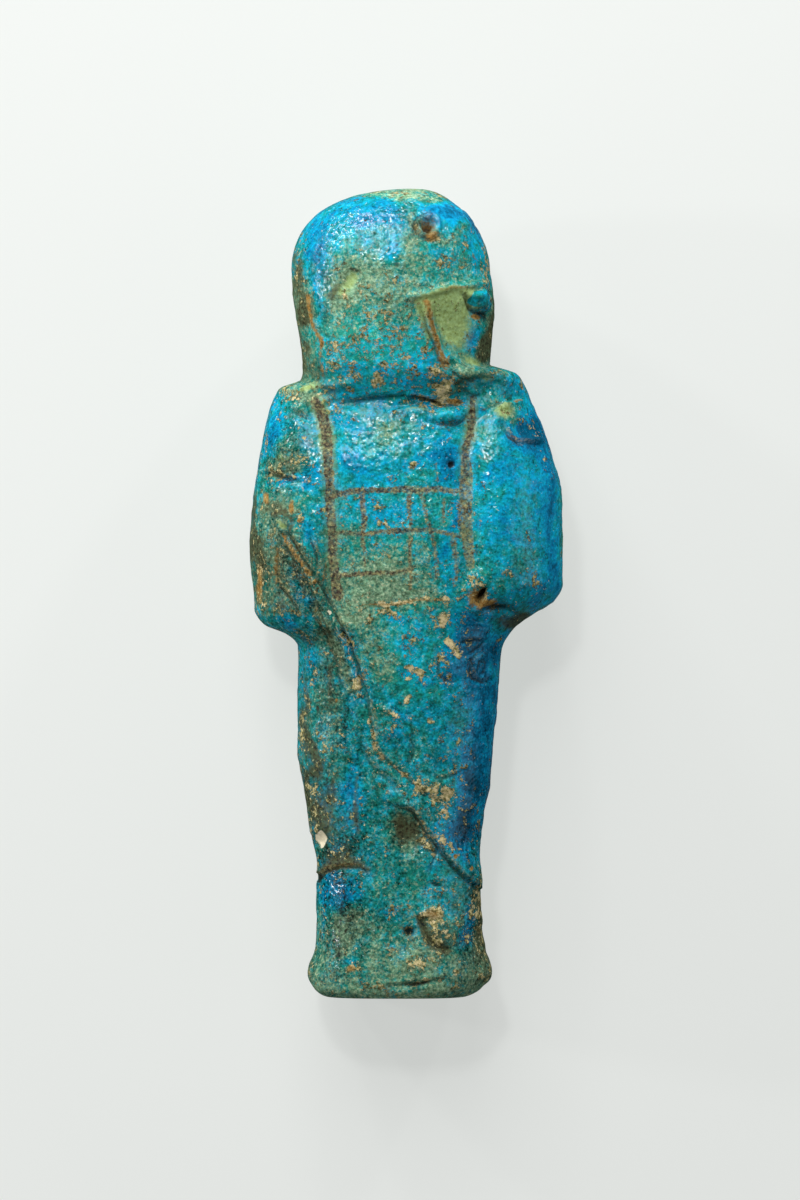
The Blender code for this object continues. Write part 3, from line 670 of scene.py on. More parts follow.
# Lightness of the glaze: partly its own tone, partly painted light and shade.
GLAZE_TONE_AND_PAINTED_LIGHT = {
    "low on the wig": (-1, 88, 9, 4.5, 1.04),
    "left shoulder": (-15, 74, 3.4, 6, -0.6),
    "left of the waist": (-7.5, 44, 3, 9, -0.32),
    "left of the shin": (-8, 18, 3, 5, -0.2),
    "left of the foot": (-8, 8, 4, 6, -0.34),
    "right of the wig": (7, 99, 5, 4, 0.2),
    "left temple": (-11, 98, 2.4, 6, -0.34),
    "right of the neck": (9, 88, 3, 3, -0.2),
    "right shin": (10.4, 19, 2.4, 5, -0.2),
    "left shin": (-7.5, 15, 3.4, 5, -0.18),
    "sole's rim": (0, 1, 13, 2, 0.75),
    "green middle of the wig": (-2, 97, 8, 5, 0.16),
    "crown": (0, 105, 9, 3, -0.36),
    # A painted reflection along the rim of the crown.
    "rim of the crown": (-1, 109.3, 10, 0.9, 0.6),
    "upper back": (-3.6, 74, 4, 4, 0.02),
    "below the bag": (-3, 52, 4.4, 2, 0.26),
    "waist": (1.5, 46, 5, 6, 0.36),
    "whole right arm": (15, 66, 6, 10, 0.02),
    "left shin's middle": (-7, 17, 4, 6, -0.1),
    "in the bag": (-2.5, 60, 6, 5, 0.28),
    "upper back on the right": (6, 72.2, 1.9, 3.4, -0.22),
    "right arm's edge": (20.8, 64, 1.8, 11, 0.04),
    "right shoulder's edge": (18.4, 77.6, 1.8, 3.8, -0.1, 25),
    "left elbow": (-16, 58, 3.6, 6.5, -0.46),
    "left folds": (-12.4, 54, 2.4, 5.5, -0.2, 30),
    "right flank": (11.5, 36, 2.8, 14, -0.1, -4),
    "waist on the right": (9.4, 48.5, 3, 6.5, -0.16),
    "left thigh": (-9, 40, 2.2, 10, -0.2),
    "dark left shin": (-9.4, 20.4, 2.4, 3, -0.26),
    "left leg's edge": (-12.2, 26, 1.6, 5, -0.3),
    "olive under the crack": (1.8, 22.4, 2.4, 3.2, -0.34, 15),
    "right of the crack": (10.6, 20, 1.6, 5, -0.12),
    "foot's right": (10.4, 8, 2.6, 7, -0.46),
    "foot's middle": (1.5, 6.5, 4.5, 2.6, 0.06),
    "middle of the shin": (3.4, 16, 4.6, 4.4, 0.22),
    "drop of glaze": (11.1, 94.4, 1.4, 2, -0.3),
    # A painted highlight on the pool of glaze.
    "pool on the crown": (7.2, 106, 3.6, 1.8, 0.55, -12),
}
CRUST = {
    "low on the wig": (-3.5, 86.5, 7.5, 4.2, 0.33),
    "wig's left": (-9.4, 84.8, 1.4, 2.6, 0.45, 10),
    "wig's lower right": (6, 84, 2.6, 1.8, 0.34),
    "middle of the wig": (-1, 92.4, 6.5, 1.6, 0.22),
    "right of the pit": (8.4, 100.4, 3, 1.8, 0.24, 20),
    "left shoulder": (-14.8, 72.4, 3, 2.4, 0.28),
    "left shoulder's top": (-14.6, 81.4, 3, 1.6, 0.34),
    "left arm": (-17.6, 60, 2, 8, 0.08),
    "folds": (-12, 56.5, 2.6, 4.4, 0.18, 35),
    "by the right elbow": (10.2, 55, 1.5, 2.6, 0.7),
    "right arm's specks": (16.4, 58, 4, 2.4, 0.24),
    "right shoulder": (14.8, 78.6, 1.9, 1.8, 0.32),
    "under the bag": (-1, 52.8, 6, 1.9, 0.2),
    "waist": (1.2, 47, 4, 4, 0.06),
    "right hip": (6.8, 46, 1.5, 2.8, 0.46),
    "left of the folds": (-5, 46, 1.4, 4, 0.18, 30),
    "thighs": (1, 37, 5.5, 3.6, 0.04),
    "left thigh": (-10.4, 36, 2, 6, 0.08),
    "over the crack": (5, 28.8, 3, 1.6, 0.62, -10),
    "right of the thigh": (9, 27.6, 2.2, 3, 0.22),
    "left shin": (-8, 19.6, 1.8, 1.6, 0.24),
    "foot's crust": (6.4, 8.8, 2.2, 2.1, 0.46),
    "clean right arm": (16, 68, 4.6, 8, -0.45),
    "clean scar": (8.2, 90.4, 2.2, 3.4, -0.14, 14),
    "clean right rim": (20.9, 62, 1.4, 9, -0.6),
    "clean crown": (-3.5, 104.5, 7, 3, -0.35, 4),
    "clean left temple": (-10.8, 98, 1.9, 5.5, -0.45),
    "clean upper back": (-3.5, 74, 5, 3.6, -0.35),
    "clean right of the upper back": (5.6, 73, 2.4, 3.6, -0.35),
    "clean right flank": (12, 38, 2.2, 8, -0.35, -4),
    "clean right shoulder": (12.6, 75, 2.6, 3, -0.3),
}
# Small crumbs of the same crust.
CRUMBS = {
    "crumb low on the wig": (-2.9, 83.5, 0.8, 0.8, 0.6),
    "crumb at the wig's edge": (5.8, 82.4, 1, 0.9, 0.7),
    "right rim of the head": (11.8, 98.5, 0.9, 4, 0.42),
    "rim of the crown": (-2, 109.2, 10, 0.9, 0.26),
    "crescent under the pit": (4.4, 102.6, 1.9, 0.6, 0.62, 10),
    "left of the pit": (2.1, 104, 0.4, 1.5, 0.45),
    "left side of the head": (-13.6, 100, 0.9, 6, 0.3),
    "left edge of the arm": (-18.8, 56.5, 0.9, 4, 0.42),
    "wig's edge": (5, 80.8, 4.5, 0.9, 0.42),
    "under the wig": (3.2, 77.4, 1.6, 0.6, 0.34),
    "crumb on the upper back": (1.9, 72.5, 0.5, 0.45, 0.75),
    "mark on the upper back": (-1.4, 74.2, 0.3, 0.7, 0.7),
    "right strap": (8.9, 64.5, 1, 7, 0.16),
    "under the right elbow": (13.6, 52.6, 2.2, 0.9, 0.4),
    "trail on the right forearm": (18.6, 64.4, 0.8, 1.8, 0.38, 30),
    "spot on the right forearm": (17.2, 62.2, 0.5, 1, 0.4, 30),
    "brown spot on the right arm": (15, 66, 0.9, 0.6, 0.36),
    "right shoulder's edge": (19.6, 73, 0.6, 3.4, 0.34, 20),
    "bar of tan by the right hip": (6.2, 51.5, 0.6, 2.4, 0.5),
    "crumb on the waist": (1.4, 44.9, 0.55, 0.45, 1.1),
    "other crumb on the waist": (2.6, 44.3, 0.6, 0.45, 1.1),
    "third crumb on the waist": (0.9, 40.7, 0.42, 0.6, 1.1),
    "fourth crumb on the waist": (1, 43.3, 0.36, 0.36, 1),
    "crumb by the hip": (6.8, 48.4, 0.6, 0.5, 1),
    "other crumb by the hip": (7.6, 46.9, 0.35, 0.6, 0.8),
    "long crumb by the hip": (5.9, 51.2, 0.4, 0.9, 1.1),
    "scar on the thigh": (-1.4, 38.8, 1.1, 0.3, 1, -22),
    "crumb on the thigh": (4.3, 37.8, 0.7, 0.4, 0.8),
    "pale patch left of the waist": (-5.7, 42.9, 0.8, 1, 0.6),
    "left edge of the leg": (-13, 35, 1, 8, 0.22),
    "below that": (6, 25.4, 1.2, 2.2, 0.48, 20),
    "flap": (5.8, 21.3, 2.2, 0.6, 0.85, -35),
    "left shin's edge": (-11.8, 24, 0.9, 6, 0.3),
    "right shin's edge": (10.8, 12.5, 0.9, 4.5, 0.44),
    "cluster on the shin": (4.3, 11.6, 1.5, 0.8, 0.7),
    "over the left foot": (-6.5, 4.3, 1.4, 1, 0.44),
    "on the foot": (2.4, 4.6, 1.1, 0.8, 0.44),
    "over the sole": (3, 2.6, 3.6, 0.7, 0.34),
    "tan by the sole": (-2.7, 2.4, 0.8, 0.6, 0.46),
    "left heel": (-12, 4.6, 1.2, 2.8, 0.2),
    "right heel": (12, 4, 1.2, 3, 0.3),
}
SCAR = {
    "bare scar on the wig": (7.4, 91.4, 2.5, 4.2, 1.1, 14),
    "top of the scar": (7.6, 94, 3.2, 1.5, 0.9, 9),
    "corner of the scar": (3.8, 94.2, 1.5, 1.4, 0.45, 10),
    "upper edge of the scar": (7.4, 95.6, 3.6, 0.7, 0.75, 9),
    "dip on the wig": (-6.6, 97, 1, 1.7, 0.8, -35),
    "tail of the dip": (-8, 95.2, 1.2, 1, 0.4),
    "left shoulder's join": (-12.4, 82.9, 1.8, 0.7, 0.8, 20),
    "green low on the wig": (9.9, 86.2, 1.1, 0.7, 0.7),
    "green knob low on the wig": (7.2, 82.2, 0.6, 0.6, 0.55),
    "right of the wig's edge": (11.6, 84.2, 1.5, 0.9, 0.55),
    "right shoulder": (14, 79.4, 1.4, 1.2, 0.85, -30),
    "roll below the wig": (2.6, 79.8, 2.4, 0.45, 0.65),
    "inside the elbow's loop": (-15.7, 64.1, 0.85, 0.4, 0.95, -50),
    "on the left shoulder": (-15.6, 73.4, 1.2, 0.9, 0.5),
    "on the foot": (2, 5.8, 0.9, 1.2, 0.45),
}
RUST = {
    "over the scar": (7, 96.1, 4, 0.4, 0.5, 9),
    "below the drop": (10.5, 92.3, 0.55, 0.55, 0.95),
    "pit in the crown": (3.8, 104.4, 1.35, 1.35, 0.76),
    "crescent under the pit": (4.4, 102.8, 1.7, 0.6, 0.5, 10),
    "middle of the wig": (-1.4, 92.6, 2.4, 0.5, 0.42),
    "left shoulder": (-18.1, 67.9, 0.6, 0.9, 0.85, 20),
    "streak over the folds": (-14.5, 66.6, 0.4, 1.1, 0.95),
    "crumb over the folds": (-13.6, 64.7, 0.35, 0.35, 1.2),
    "crumb on the folds": (-11.5, 56.7, 0.42, 0.38, 0.9),
    "left edge of the arm": (-18.9, 56.2, 0.6, 3, 0.7),
    "by the right elbow": (10.2, 54.6, 1.4, 1.8, 0.75),
    "under the hole": (12.2, 53.6, 1.1, 0.6, 0.85),
    "crevice under the wig": (7.4, 80.9, 1.4, 0.45, 0.85),
    "cluster on the shin": (4.4, 11.5, 1.4, 0.7, 0.6),
    "over the left foot": (-6.6, 4.3, 0.9, 0.5, 0.7),
    "dot by the crack": (7.5, 19.2, 0.32, 0.32, 1.2),
    "other dot by the crack": (9.6, 17.7, 0.35, 0.3, 1),
    "dot on the left thigh": (-8.4, 40.5, 0.28, 0.28, 1),
    "streak on the right shoulder": (15.8, 81.2, 0.9, 0.3, 0.7, 25),
}
BARE = {
    "chip on the left shin": (-11, 21.8, 0.8, 1.05, 1.3),
    "foot of the chip": (-10.7, 20.8, 0.35, 0.75, 1),
    "where the bag's lines meet": (7.6, 68.5, 0.8, 0.55, 0.65),
    "crumb low on the wig": (-2.9, 83.4, 0.4, 0.4, 0.65),
    "crumb at the wig's edge": (5.8, 82.4, 0.5, 0.5, 0.6),
}
# Dirt, pits and dots, and painted shade: under the right elbow, by the drop, round the crown's pit, under the
# loop.
DIRT_AND_PAINTED_SHADE = {
    "hole by the right elbow": (11.2, 54.8, 0.6, 1, 1.2, -30),
    "pit in the crown": (3.8, 104.4, 0.5, 0.5, 0.75),
    "round the pit in the crown": (3.8, 104.4, 1.5, 1.5, 0.25),
    "under the drop": (11.3, 92.4, 0.9, 0.9, 0.75),
    "pit on the upper back": (7.2, 72.5, 0.45, 0.5, 1.5),
    "under the right elbow": (13.4, 53, 1.9, 0.8, 0.55, 5),
    "pit by the foot": (1.3, 9.2, 0.8, 0.6, 0.95),
    "pits on the shin": (5.1, 15.4, 0.9, 0.35, 0.95, -25),
    "cluster on the shin": (3.9, 11.9, 1.4, 0.7, 0.6),
    "over the sole": (2.6, 2.2, 2.2, 0.35, 0.85),
    "notch in the left edge": (-11.2, 16.3, 0.7, 0.6, 1.3),
    "dot left on the wig": (-7.5, 99.6, 0.28, 0.28, 1.2),
    "dot on top of the wig": (-0.4, 101.9, 0.28, 0.28, 1.1),
    "dots on the wig's middle": (-0.4, 99.1, 0.6, 0.5, 0.7),
    "rim of the dip": (-6.1, 98.5, 1.4, 0.35, 0.85, -15),
    "dot on the foot": (-7.2, 9.3, 0.25, 0.25, 1.3),
    "dot on the left thigh": (-11.2, 39.4, 0.3, 0.7, 1),
    "green knob low on the wig": (8.6, 82.6, 1, 0.6, 0.55),
    "inside the scar": (7.4, 92.3, 0.9, 0.9, 0.42),
    "left of the drop": (9.5, 93.6, 0.6, 1, 0.45),
    "under the loop": (-14.6, 65.2, 0.9, 0.6, 0.6),
}
# Olive-brown stain, which is broad and dark, and painted shade in its colour below the right elbow and under
# the crack's flap.
STAIN_AND_PAINTED_SHADE = {
    "tail of the dip": (-8.6, 95.7, 1.7, 0.9, 0.62, 35),
    "round the dip": (-6.4, 97.2, 2.2, 2.4, 0.3, -35),
    "left arm": (-17, 60, 2, 7, 0.34),
    "left edge of the legs": (-12.2, 38, 0.8, 9, 0.55, 2),
    "between the arm and the waist": (-11.6, 49.6, 1.8, 0.9, 0.5, -20),
    "left of the wig's foot": (-11.2, 86, 1, 3, 0.45),
    "across the low thigh": (-8.2, 24, 1.6, 2.6, 0.35),
    "left side of the head": (-13.9, 90, 1.5, 7, 1.1, 7),
    "upper left side of the head": (-14.2, 99.5, 0.8, 4, 0.6),
    "right side of the head": (12.6, 89.2, 1.3, 4, 1.35),
    "right rim of the head": (13.6, 97.5, 0.7, 6, 0.7),
    "wig's lower left": (-9.9, 82.4, 1.4, 1.4, 0.6),
    "wig's lower right": (8.4, 83.6, 2.4, 1.6, 0.45),
    "left rim of the left arm": (-19.4, 63, 0.7, 12, 0.8, 3),
    "above the loop": (-15.4, 66, 2.2, 1, 0.5),
    "left elbow": (-16.6, 54, 1.6, 1.6, 0.5),
    "right rim of the right arm": (21.8, 70, 0.4, 6, 0.4, 6),
    "below the right elbow": (15.2, 51.4, 2.6, 1.2, 0.9, 25),
    "between the folds": (-8.6, 50.4, 1.2, 2, 0.5, 30),
    "left thigh": (-9.2, 42, 0.8, 5, 0.5),
    "streak on the left thigh": (-9.5, 29, 0.5, 3, 0.6),
    "left rim of the leg": (-12.6, 30, 1.1, 8, 0.6),
    "dark left shin": (-11, 24.6, 1.5, 3.6, 0.75),
    "above the stain": (-8.4, 19.2, 2.2, 1.5, 0.6),
    "under the crack": (1.8, 22.6, 1.6, 2.6, 0.85, 15),
    "by the crack": (4.4, 20.2, 0.6, 1.8, 0.6, 35),
    "right rim of the leg": (13.2, 30, 0.5, 9, 0.35, -3),
    "right shin's edge": (11.2, 10.5, 1.2, 5, 0.8),
    "cluster on the shin": (4.2, 11.4, 1.8, 1.2, 0.4),
    "pit by the foot": (1.3, 9.2, 1.3, 1, 0.6),
    "foot's crust": (5.8, 9, 2.4, 2.4, 0.62),
    "right heel": (12.6, 4, 1.2, 3.2, 0.6),
    "left heel": (-12.8, 4, 1, 3.2, 0.5),
}
GLOSS = {
    "pool of glaze on the crown": (7, 106, 3.6, 1.9, 1.8, -10),
    "drop of glaze": (10.7, 94.9, 1.9, 1.9, 2.3),
    "crown": (-2, 105.6, 9, 3.8, 0.75, 4),
    "left temple": (-10.6, 100, 2.4, 5.5, 0.6),
    "blue spot on the wig": (-1.3, 101.4, 1.2, 2, 0.3),
    "upper back": (-4, 74, 4.5, 3.6, 0.6),
    "by the right strap": (11.6, 76.6, 2.4, 3, 0.4),
    "right arm": (17, 62, 4.5, 12, 0.35),
    "middle of the wig": (0, 93, 8, 4, -0.3),
    "scar": (7.7, 91.6, 2.6, 4, -1, 14),
    "foot": (0, 2, 14, 6, -0.4),
    "left side of the head": (-14, 91, 2, 8, -0.9, 8),
    "right side of the head": (12.8, 90, 1.3, 5, -0.9),
}
# A halo of thin glaze beside the painted straps.
LINE_HALO = {
    "left strap": (-10.4, 76.5, 2, 5.5, 1),
    "right strap": (9.4, 77.5, 2, 4, 0.8),
    "left strap, lower": (-9.2, 62, 2, 8, 0.4),
}

# What the plainer front adds to the values of the back.
FRONT_CHANGES = {"glaze_shade": -0.04, "glaze_tone_and_painted_light": -0.10, "film": 0.12, "crust": 0.22, "gloss": -0.3}
GREENEST_SHADE = 0.36
# The film lies everywhere, and thicker where the glaze is greener than this shade.
FILM_EVERYWHERE = 0.22
FILM_ON_GREEN = 1.7
FILM_SHADE = 0.48
FILM_RANGE = (-0.5, 1.0)
CRUST_EVERYWHERE = 0.02

# Marks that follow a route: the value, half width, amount and route.
MARKS = {
    "tan line along the long fold": ("bare", 0.2, 0.62, [(-9.4, 52.6), (-7.4, 48), (-5.8, 44.4),
        (-4.7, 40.6)]),
    "crust along the long fold": ("crust", 0.34, 0.55, [(-4.1, 38), (-3.7, 34.6), (-2, 32.7), (0.4, 31),
        (3, 28.6)]),
    "shadow of the loop": ("stain", 0.3, 0.75, [(-17, 65.4), (-15.4, 66), (-14.4, 64.6), (-14.6, 63.4)]),
    "lowest line of the bag": ("rust", 0.3, 0.52, [(-5.6, 53.4), (-1.7, 53.4), (1.5, 53.8), (5.8, 54.2)]),
    "crust on the lowest line": ("crust", 0.4, 0.5, [(-3.4, 53.4), (1.5, 53.9), (6.2, 54.4)]),
    "left edge of the scar": ("rust", 0.62, 0.66, [(3.6, 94.2), (4.1, 92.2), (4.9, 89.8), (6.2, 85.6)]),
    "outside the scar's edge": ("scar", 0.8, 0.55, [(2.6, 94), (3.2, 91.6), (4, 89.2)]),
    "left band of the head": ("rust", 0.5, 0.62, [(-12.4, 95.2), (-11.9, 92.6), (-11.3, 90.6),
        (-10.4, 88.8)]),
    "below the left band": ("rust", 0.35, 0.5, [(-10.4, 88.6), (-10.8, 86.4), (-10.2, 84)]),
    "ridge below the long fold": ("rust", 0.36, 0.72, [(-15.6, 62.8), (-13.9, 60.2), (-12.2, 57.6)]),
    "curve on the elbow": ("rust", 0.3, 0.55, [(-16.7, 61), (-17.1, 58.8), (-16.9, 56.6)]),
    "other short fold": ("rust", 0.28, 0.6, [(-9.9, 59), (-10.4, 56.4)]),
    "rope of the folds": ("film", 0.55, 0.3, [(-12.6, 55.2), (-10.6, 52), (-8.6, 48.2), (-7.2, 44.6),
        (-6.2, 41.6)]),
    "pale edge of the rope": ("bare", 0.22, 0.5, [(-11.2, 55.4), (-9.4, 52.2)]),
    "below the crack": ("crust", 0.4, 0.4, [(3.2, 21.8), (4.8, 19.6), (6.4, 17.9)]),
    "stain over the shin's line": ("stain", 0.7, 0.7, [(-11, 16.9), (-8.8, 18.2), (-5.8, 18.4),
        (-4.4, 17.6)]),
    "streak on the left thigh": ("dirt_and_painted_shade", 0.35, 0.45, [(-9.4, 46), (-9, 43), (-9.6, 39.5), (-9.3, 36)]),
    "streak on the low left thigh": ("dirt_and_painted_shade", 0.28, 0.55, [(-9.4, 31), (-9.6, 28.6), (-9.3, 26.6)]),
    "streak left of the shin's middle": ("stain", 0.4, 0.55, [(-5.6, 30), (-5.9, 26), (-5.6, 22.4)]),
    "edge of the foot's crust": ("stain", 0.5, 0.9, [(2.8, 11.2), (3.3, 8.8), (4.6, 7.3), (6.6, 6.4)]),
    "beside the right strap": ("dirt_and_painted_shade", 0.3, 0.65, [(10.4, 61.4), (10.7, 59)]),
    "by the bag's right": ("dirt_and_painted_shade", 0.22, 0.5, [(7.6, 62.7), (7.9, 58.8), (8.4, 56), (8.6, 53.2)]),
    "over the hip": ("dirt_and_painted_shade", 0.22, 0.45, [(7.9, 54.4), (8, 51.8), (7.6, 49.2)]),
    "roll below the wig": ("bare", 0.25, 0.45, [(5.2, 80), (6.8, 79.7), (8.4, 80.2)]),
    "wig's shadow": ("dirt_and_painted_shade", 0.4, 0.3, [(-9.6, 81), (-6, 81.2), (-1, 81.6)]),
}

# Painted lines of the seed bag on the back: route of (x, h, half width, how far it has faded).
BAG_LINES = {
    "left strap": [(-11.4, 80.9, 0.55, 0.3), (-10.4, 79.2, 0.7, 0.2), (-9.9, 76.4, 0.74, 0),
        (-9.7, 73.6, 0.66, 0.1), (-9.5, 70.7, 0.58, 0.3), (-9.3, 68.4, 0.62, 0.2), (-9.1, 65.4, 0.56, 0.3),
        (-9.1, 61.9, 0.52, 0.5), (-8.9, 58.3, 0.58, 0.3), (-8.4, 54.6, 0.62, 0.2)],
    "right strap": [(9.9, 81.4, 0.34, 0.2), (9.5, 78, 0.5, 0), (9.1, 74.6, 0.5, 0.1), (9, 71.9, 0.66, 0.9),
        (9, 68.9, 0.84, 1.2), (8.8, 64.2, 0.84, 1.2), (9.1, 61.9, 0.74, 1.2), (9.6, 58.6, 0.5, 1.2)],
    "top of the bag": [(-9, 68.3, 0.4, 0.1), (-5.2, 69.1, 0.42, 0.2), (1.5, 69, 0.4, 0.3),
        (5, 69.1, 0.36, 0.7), (9, 69, 0.36, 1)],
    "second line": [(-8.7, 63.1, 0.28, 0.6), (-5.2, 63, 0.27, 0.5), (-0.5, 63.4, 0.26, 0.4),
        (3.9, 63.7, 0.26, 0.8), (6, 63.2, 0.26, 0.9), (7.8, 62.7, 0.24, 0.9)],
    "third line": [(-8.5, 57.5, 0.24, 0.3), (-4.8, 57.4, 0.26, 0.4), (-1.7, 57.8, 0.24, 0.5),
        (1.6, 58.3, 0.18, 0.7)],
    "first upright": [(-4.9, 68.8, 0.32, 0.2), (-4.7, 65.4, 0.34, 0.3), (-4.8, 62.8, 0.28, 0.5),
        (-4.9, 58.4, 0.16, 0.7)],
    "second upright": [(1.3, 68.8, 0.28, 0.2), (1.5, 66, 0.26, 0.3), (1.6, 63.8, 0.2, 0.5),
        (1.3, 55.5, 0.14, 0.7)],
    "slanting line": [(2.8, 69, 0.2, 0.6), (3.6, 65.8, 0.22, 0.6), (4.2, 63.4, 0.22, 0.7),
        (4.8, 60.6, 0.2, 0.9), (4.9, 56.8, 0.16, 1)],
    "short upright": [(5.9, 67.6, 0.16, 0.6), (5.9, 64.6, 0.16, 0.7)],
    "short marks over the bag": [(5, 72.6, 0.14, 0.4), (5, 70.2, 0.14, 0.5)],
    "line beside the strap": [(7.1, 62.8, 0.28, 1), (7.5, 59.6, 0.26, 1.1), (7.4, 56.2, 0.2, 1.1)],
}

# Painted lines of the front, in the same way. Those of the face and the hoes are mirrored.
FRONT_LINES = {
    "brow": [(1.1, 98.3, 0.22, 0.2), (3.4, 99.2, 0.28, 0.2), (5.9, 98.1, 0.2, 0.2)],
    "upper lid": [(1.3, 95.9, 0.12, 0.1), (3.3, 96.9, 0.2, 0.1), (5.3, 96.2, 0.16, 0.1),
        (6.8, 96, 0.14, 0.3)],
    "lower lid": [(1.3, 95.9, 0.12, 0.1), (3.3, 95.1, 0.12, 0.1), (5.3, 96.1, 0.12, 0.1)],
    "pupil": [(3.2, 96, 0.55, 0), (3.5, 96, 0.55, 0)],
    "band round the wig": [(0, 105.2, 0.34, 0.3), (5, 104.6, 0.34, 0.3), (9.6, 102.4, 0.34, 0.3),
        (12.6, 99.6, 0.34, 0.4)],
    "handle of the hoe": [(6.6, 66.4, 0.28, 0.3), (8, 72.4, 0.28, 0.3), (9.2, 79.6, 0.28, 0.4)],
    "blade of the hoe": [(9.2, 79.6, 0.24, 0.3), (12, 77, 0.34, 0.3), (12.8, 73.8, 0.3, 0.4)],
    "tie of the hoe": [(8.4, 74.2, 0.18, 0.3), (12.2, 75.4, 0.18, 0.4)],
}


def sum_of_patches(x, h, patches):
    """The patches' bell curves, each times its amount."""
    return sum(amount * patch(x, h, place, reach, *turn) for place, reach, amount, *turn in spots(patches))


def nearest_line(x, h, lines):
    """How far each point lies from the edge of the nearest line, and how far that line has faded."""
    gap, faded = np.full(x.shape, OUT_OF_REACH), np.zeros(x.shape)
    for route in lines.values():
        middle, carried = beside(x, h, route)
        edge = np.abs(middle) - carried[..., 0]
        closer = edge < gap
        gap[closer], faded[closer] = edge[closer], carried[..., 1][closer]
    return gap, faded


def glaze_attributes(near, far, facing, cuts, folds):
    """What the glaze carries at each point, as named values for the material.

    The places are given twice: near ones stray a little, for the lines and the small marks, and
    far ones stray more, so that the broad patches of shade and crust get ragged edges.
    """
    back = fade(facing, *GLAZE_FADE)
    shade = smooth_curve(SHADE_UP_THE_BACK)(far[1]) + back * sum_of_patches(*far, GLAZE_SHADE)
    # Lightness: partly the glaze's own tone, partly painted light and shade.
    light = smooth_curve(TONE_AND_PAINTED_LIGHT_UP_THE_BACK)(far[1]) + back * sum_of_patches(*far, GLAZE_TONE_AND_PAINTED_LIGHT)
    crust = sum_of_patches(*far, CRUST) + sum_of_patches(*near, CRUMBS)
    bag_gap, bag_faded = nearest_line(*near, BAG_LINES)
    front_gap, front_faded = nearest_line(np.abs(near[0]), near[1], FRONT_LINES)
    crease_gap, crease_painted_shade, crease_pale_and_highlight = nearest_crease(*near)
    on_back = facing > LINE_SEAM
    values = {
        "glaze_shade": np.maximum(shade, GREENEST_SHADE),
        "glaze_tone_and_painted_light": light,
        "film": np.clip(FILM_EVERYWHERE + FILM_ON_GREEN * (FILM_SHADE - shade), *FILM_RANGE),
        "crust": CRUST_EVERYWHERE + back * crust,
        "stain": back * sum_of_patches(*far, STAIN_AND_PAINTED_SHADE),
        "scar": back * sum_of_patches(*near, SCAR),
        "rust": back * sum_of_patches(*near, RUST),
        "bare": back * sum_of_patches(*near, BARE),
        # Painted shade in the cuts and in the valley under the wig.
        "dirt_and_painted_shade": back * sum_of_patches(*near, DIRT_AND_PAINTED_SHADE) + np.clip(-0.5 * cuts, 0, 0.22) + 0.14 * folds,
        "gloss": back * sum_of_patches(*near, GLOSS) + fade(np.abs(facing), *GLOSS_FADE) - 1,
        "crease_gap": crease_gap,
        "crease_painted_shade": back * crease_painted_shade,
        "crease_pale_and_highlight": back * crease_pale_and_highlight,
        "line_gap": np.where(on_back, bag_gap, np.where(facing < -LINE_SEAM, front_gap, OUT_OF_REACH)),
        "line_faded": np.where(on_back, bag_faded, front_faded),
        "line_halo": back * sum_of_patches(*near, LINE_HALO),
    }
    for name, change in FRONT_CHANGES.items():
        values[name] = values[name] + change * (1 - back)
    for name, reach, amount, route in MARKS.values():
        values[name] = values[name] + back * groove(*near, route, reach, amount)
    return {name: values[name] for name in GLAZE_VALUES}


def strayed(x, h, places, layers):
    """The places, each moved along x and h by the layers of noise."""
    for size, reach, seed in layers:
        x = x + reach * cloud(places, size, seed)
        h = h + reach * cloud(places, size, seed + 1)
    return x, h


def carved_skin(sizes):
    """The figure's points in the frame, and the glaze's values at them.

    The plain skin is raised and lowered in Z by the large forms, then moved along its own
    normals by the wear and the grain, and last worn flat where it rests.
    """
    part = sizes.length / PARTS_IN_LENGTH
    points, facing, kept = plain_skin(sizes)
    x, h = points[..., 0] / part, points[..., 1] / part
    back_side, front_side = fade(facing, *RELIEF_FADE), fade(-facing, *RELIEF_FADE)
    points[..., 2] += (back_relief(x, h) * back_side - front_relief(x, h) * front_side) * part * kept
    places = points / part
    near, far = strayed(x, h, places, STRAY), strayed(x, h, places, DRIFT)
    wear, cuts = wear_relief(*near)
    worn_back = fade(facing, *WEAR_FADE)
    grain = sum(height * cloud(places, size, GRAIN_SEED + i) for i, (size, height) in enumerate(GRAIN))
    points += outward(points) * ((wear * worn_back + grain * sizes.grain)[..., None] * part * kept[..., None])
    # How deep the valley under the wig is, for the painted shade there.
    folds = groove(x, h, **WIG_EDGE) / WIG_EDGE["height"] * fade(facing, 0.0, 0.4)
    glaze = glaze_attributes(near, far, facing, cuts * worn_back, folds)
    points[..., 2] = np.maximum(points[..., 2], sizes.worn_flat) - sizes.worn_flat
    middle = (points[..., 0].max() + points[..., 0].min()) / 2
    points -= (middle, sizes.length / 2, 0)
    return points, glaze


def closed_mesh(name, points):
    """A mesh of four-sided faces between neighbouring rings, with a fan over each end."""
    rings, columns = points.shape[:2]
    ends = np.stack([points[0].mean(axis=0), points[-1].mean(axis=0)])
    ends[1, 1] = points[..., 1].max() + (points[-1, 0, 1] - points[-2, 0, 1]) * 0.2
    index = np.arange(rings * columns).reshape(rings, columns)
    after = np.roll(index, -1, axis=1)
    quads = np.stack([index[:-1], after[:-1], after[1:], index[1:]], axis=-1).reshape(-1, 4)
    low, high = (np.full(columns, rings * columns + i) for i in (0, 1))
    fans = np.concatenate([
        np.stack([low, after[0], index[0]], axis=-1),
        np.stack([high, index[-1], after[-1]], axis=-1),
    ])
    every = np.concatenate([points.reshape(-1, 3), ends])
    mesh = bpy.data.meshes.new(name)
    mesh.from_pydata(every.tolist(), [], quads.tolist() + fans.tolist())
    mesh.update()
    mesh.shade_smooth()
    return mesh


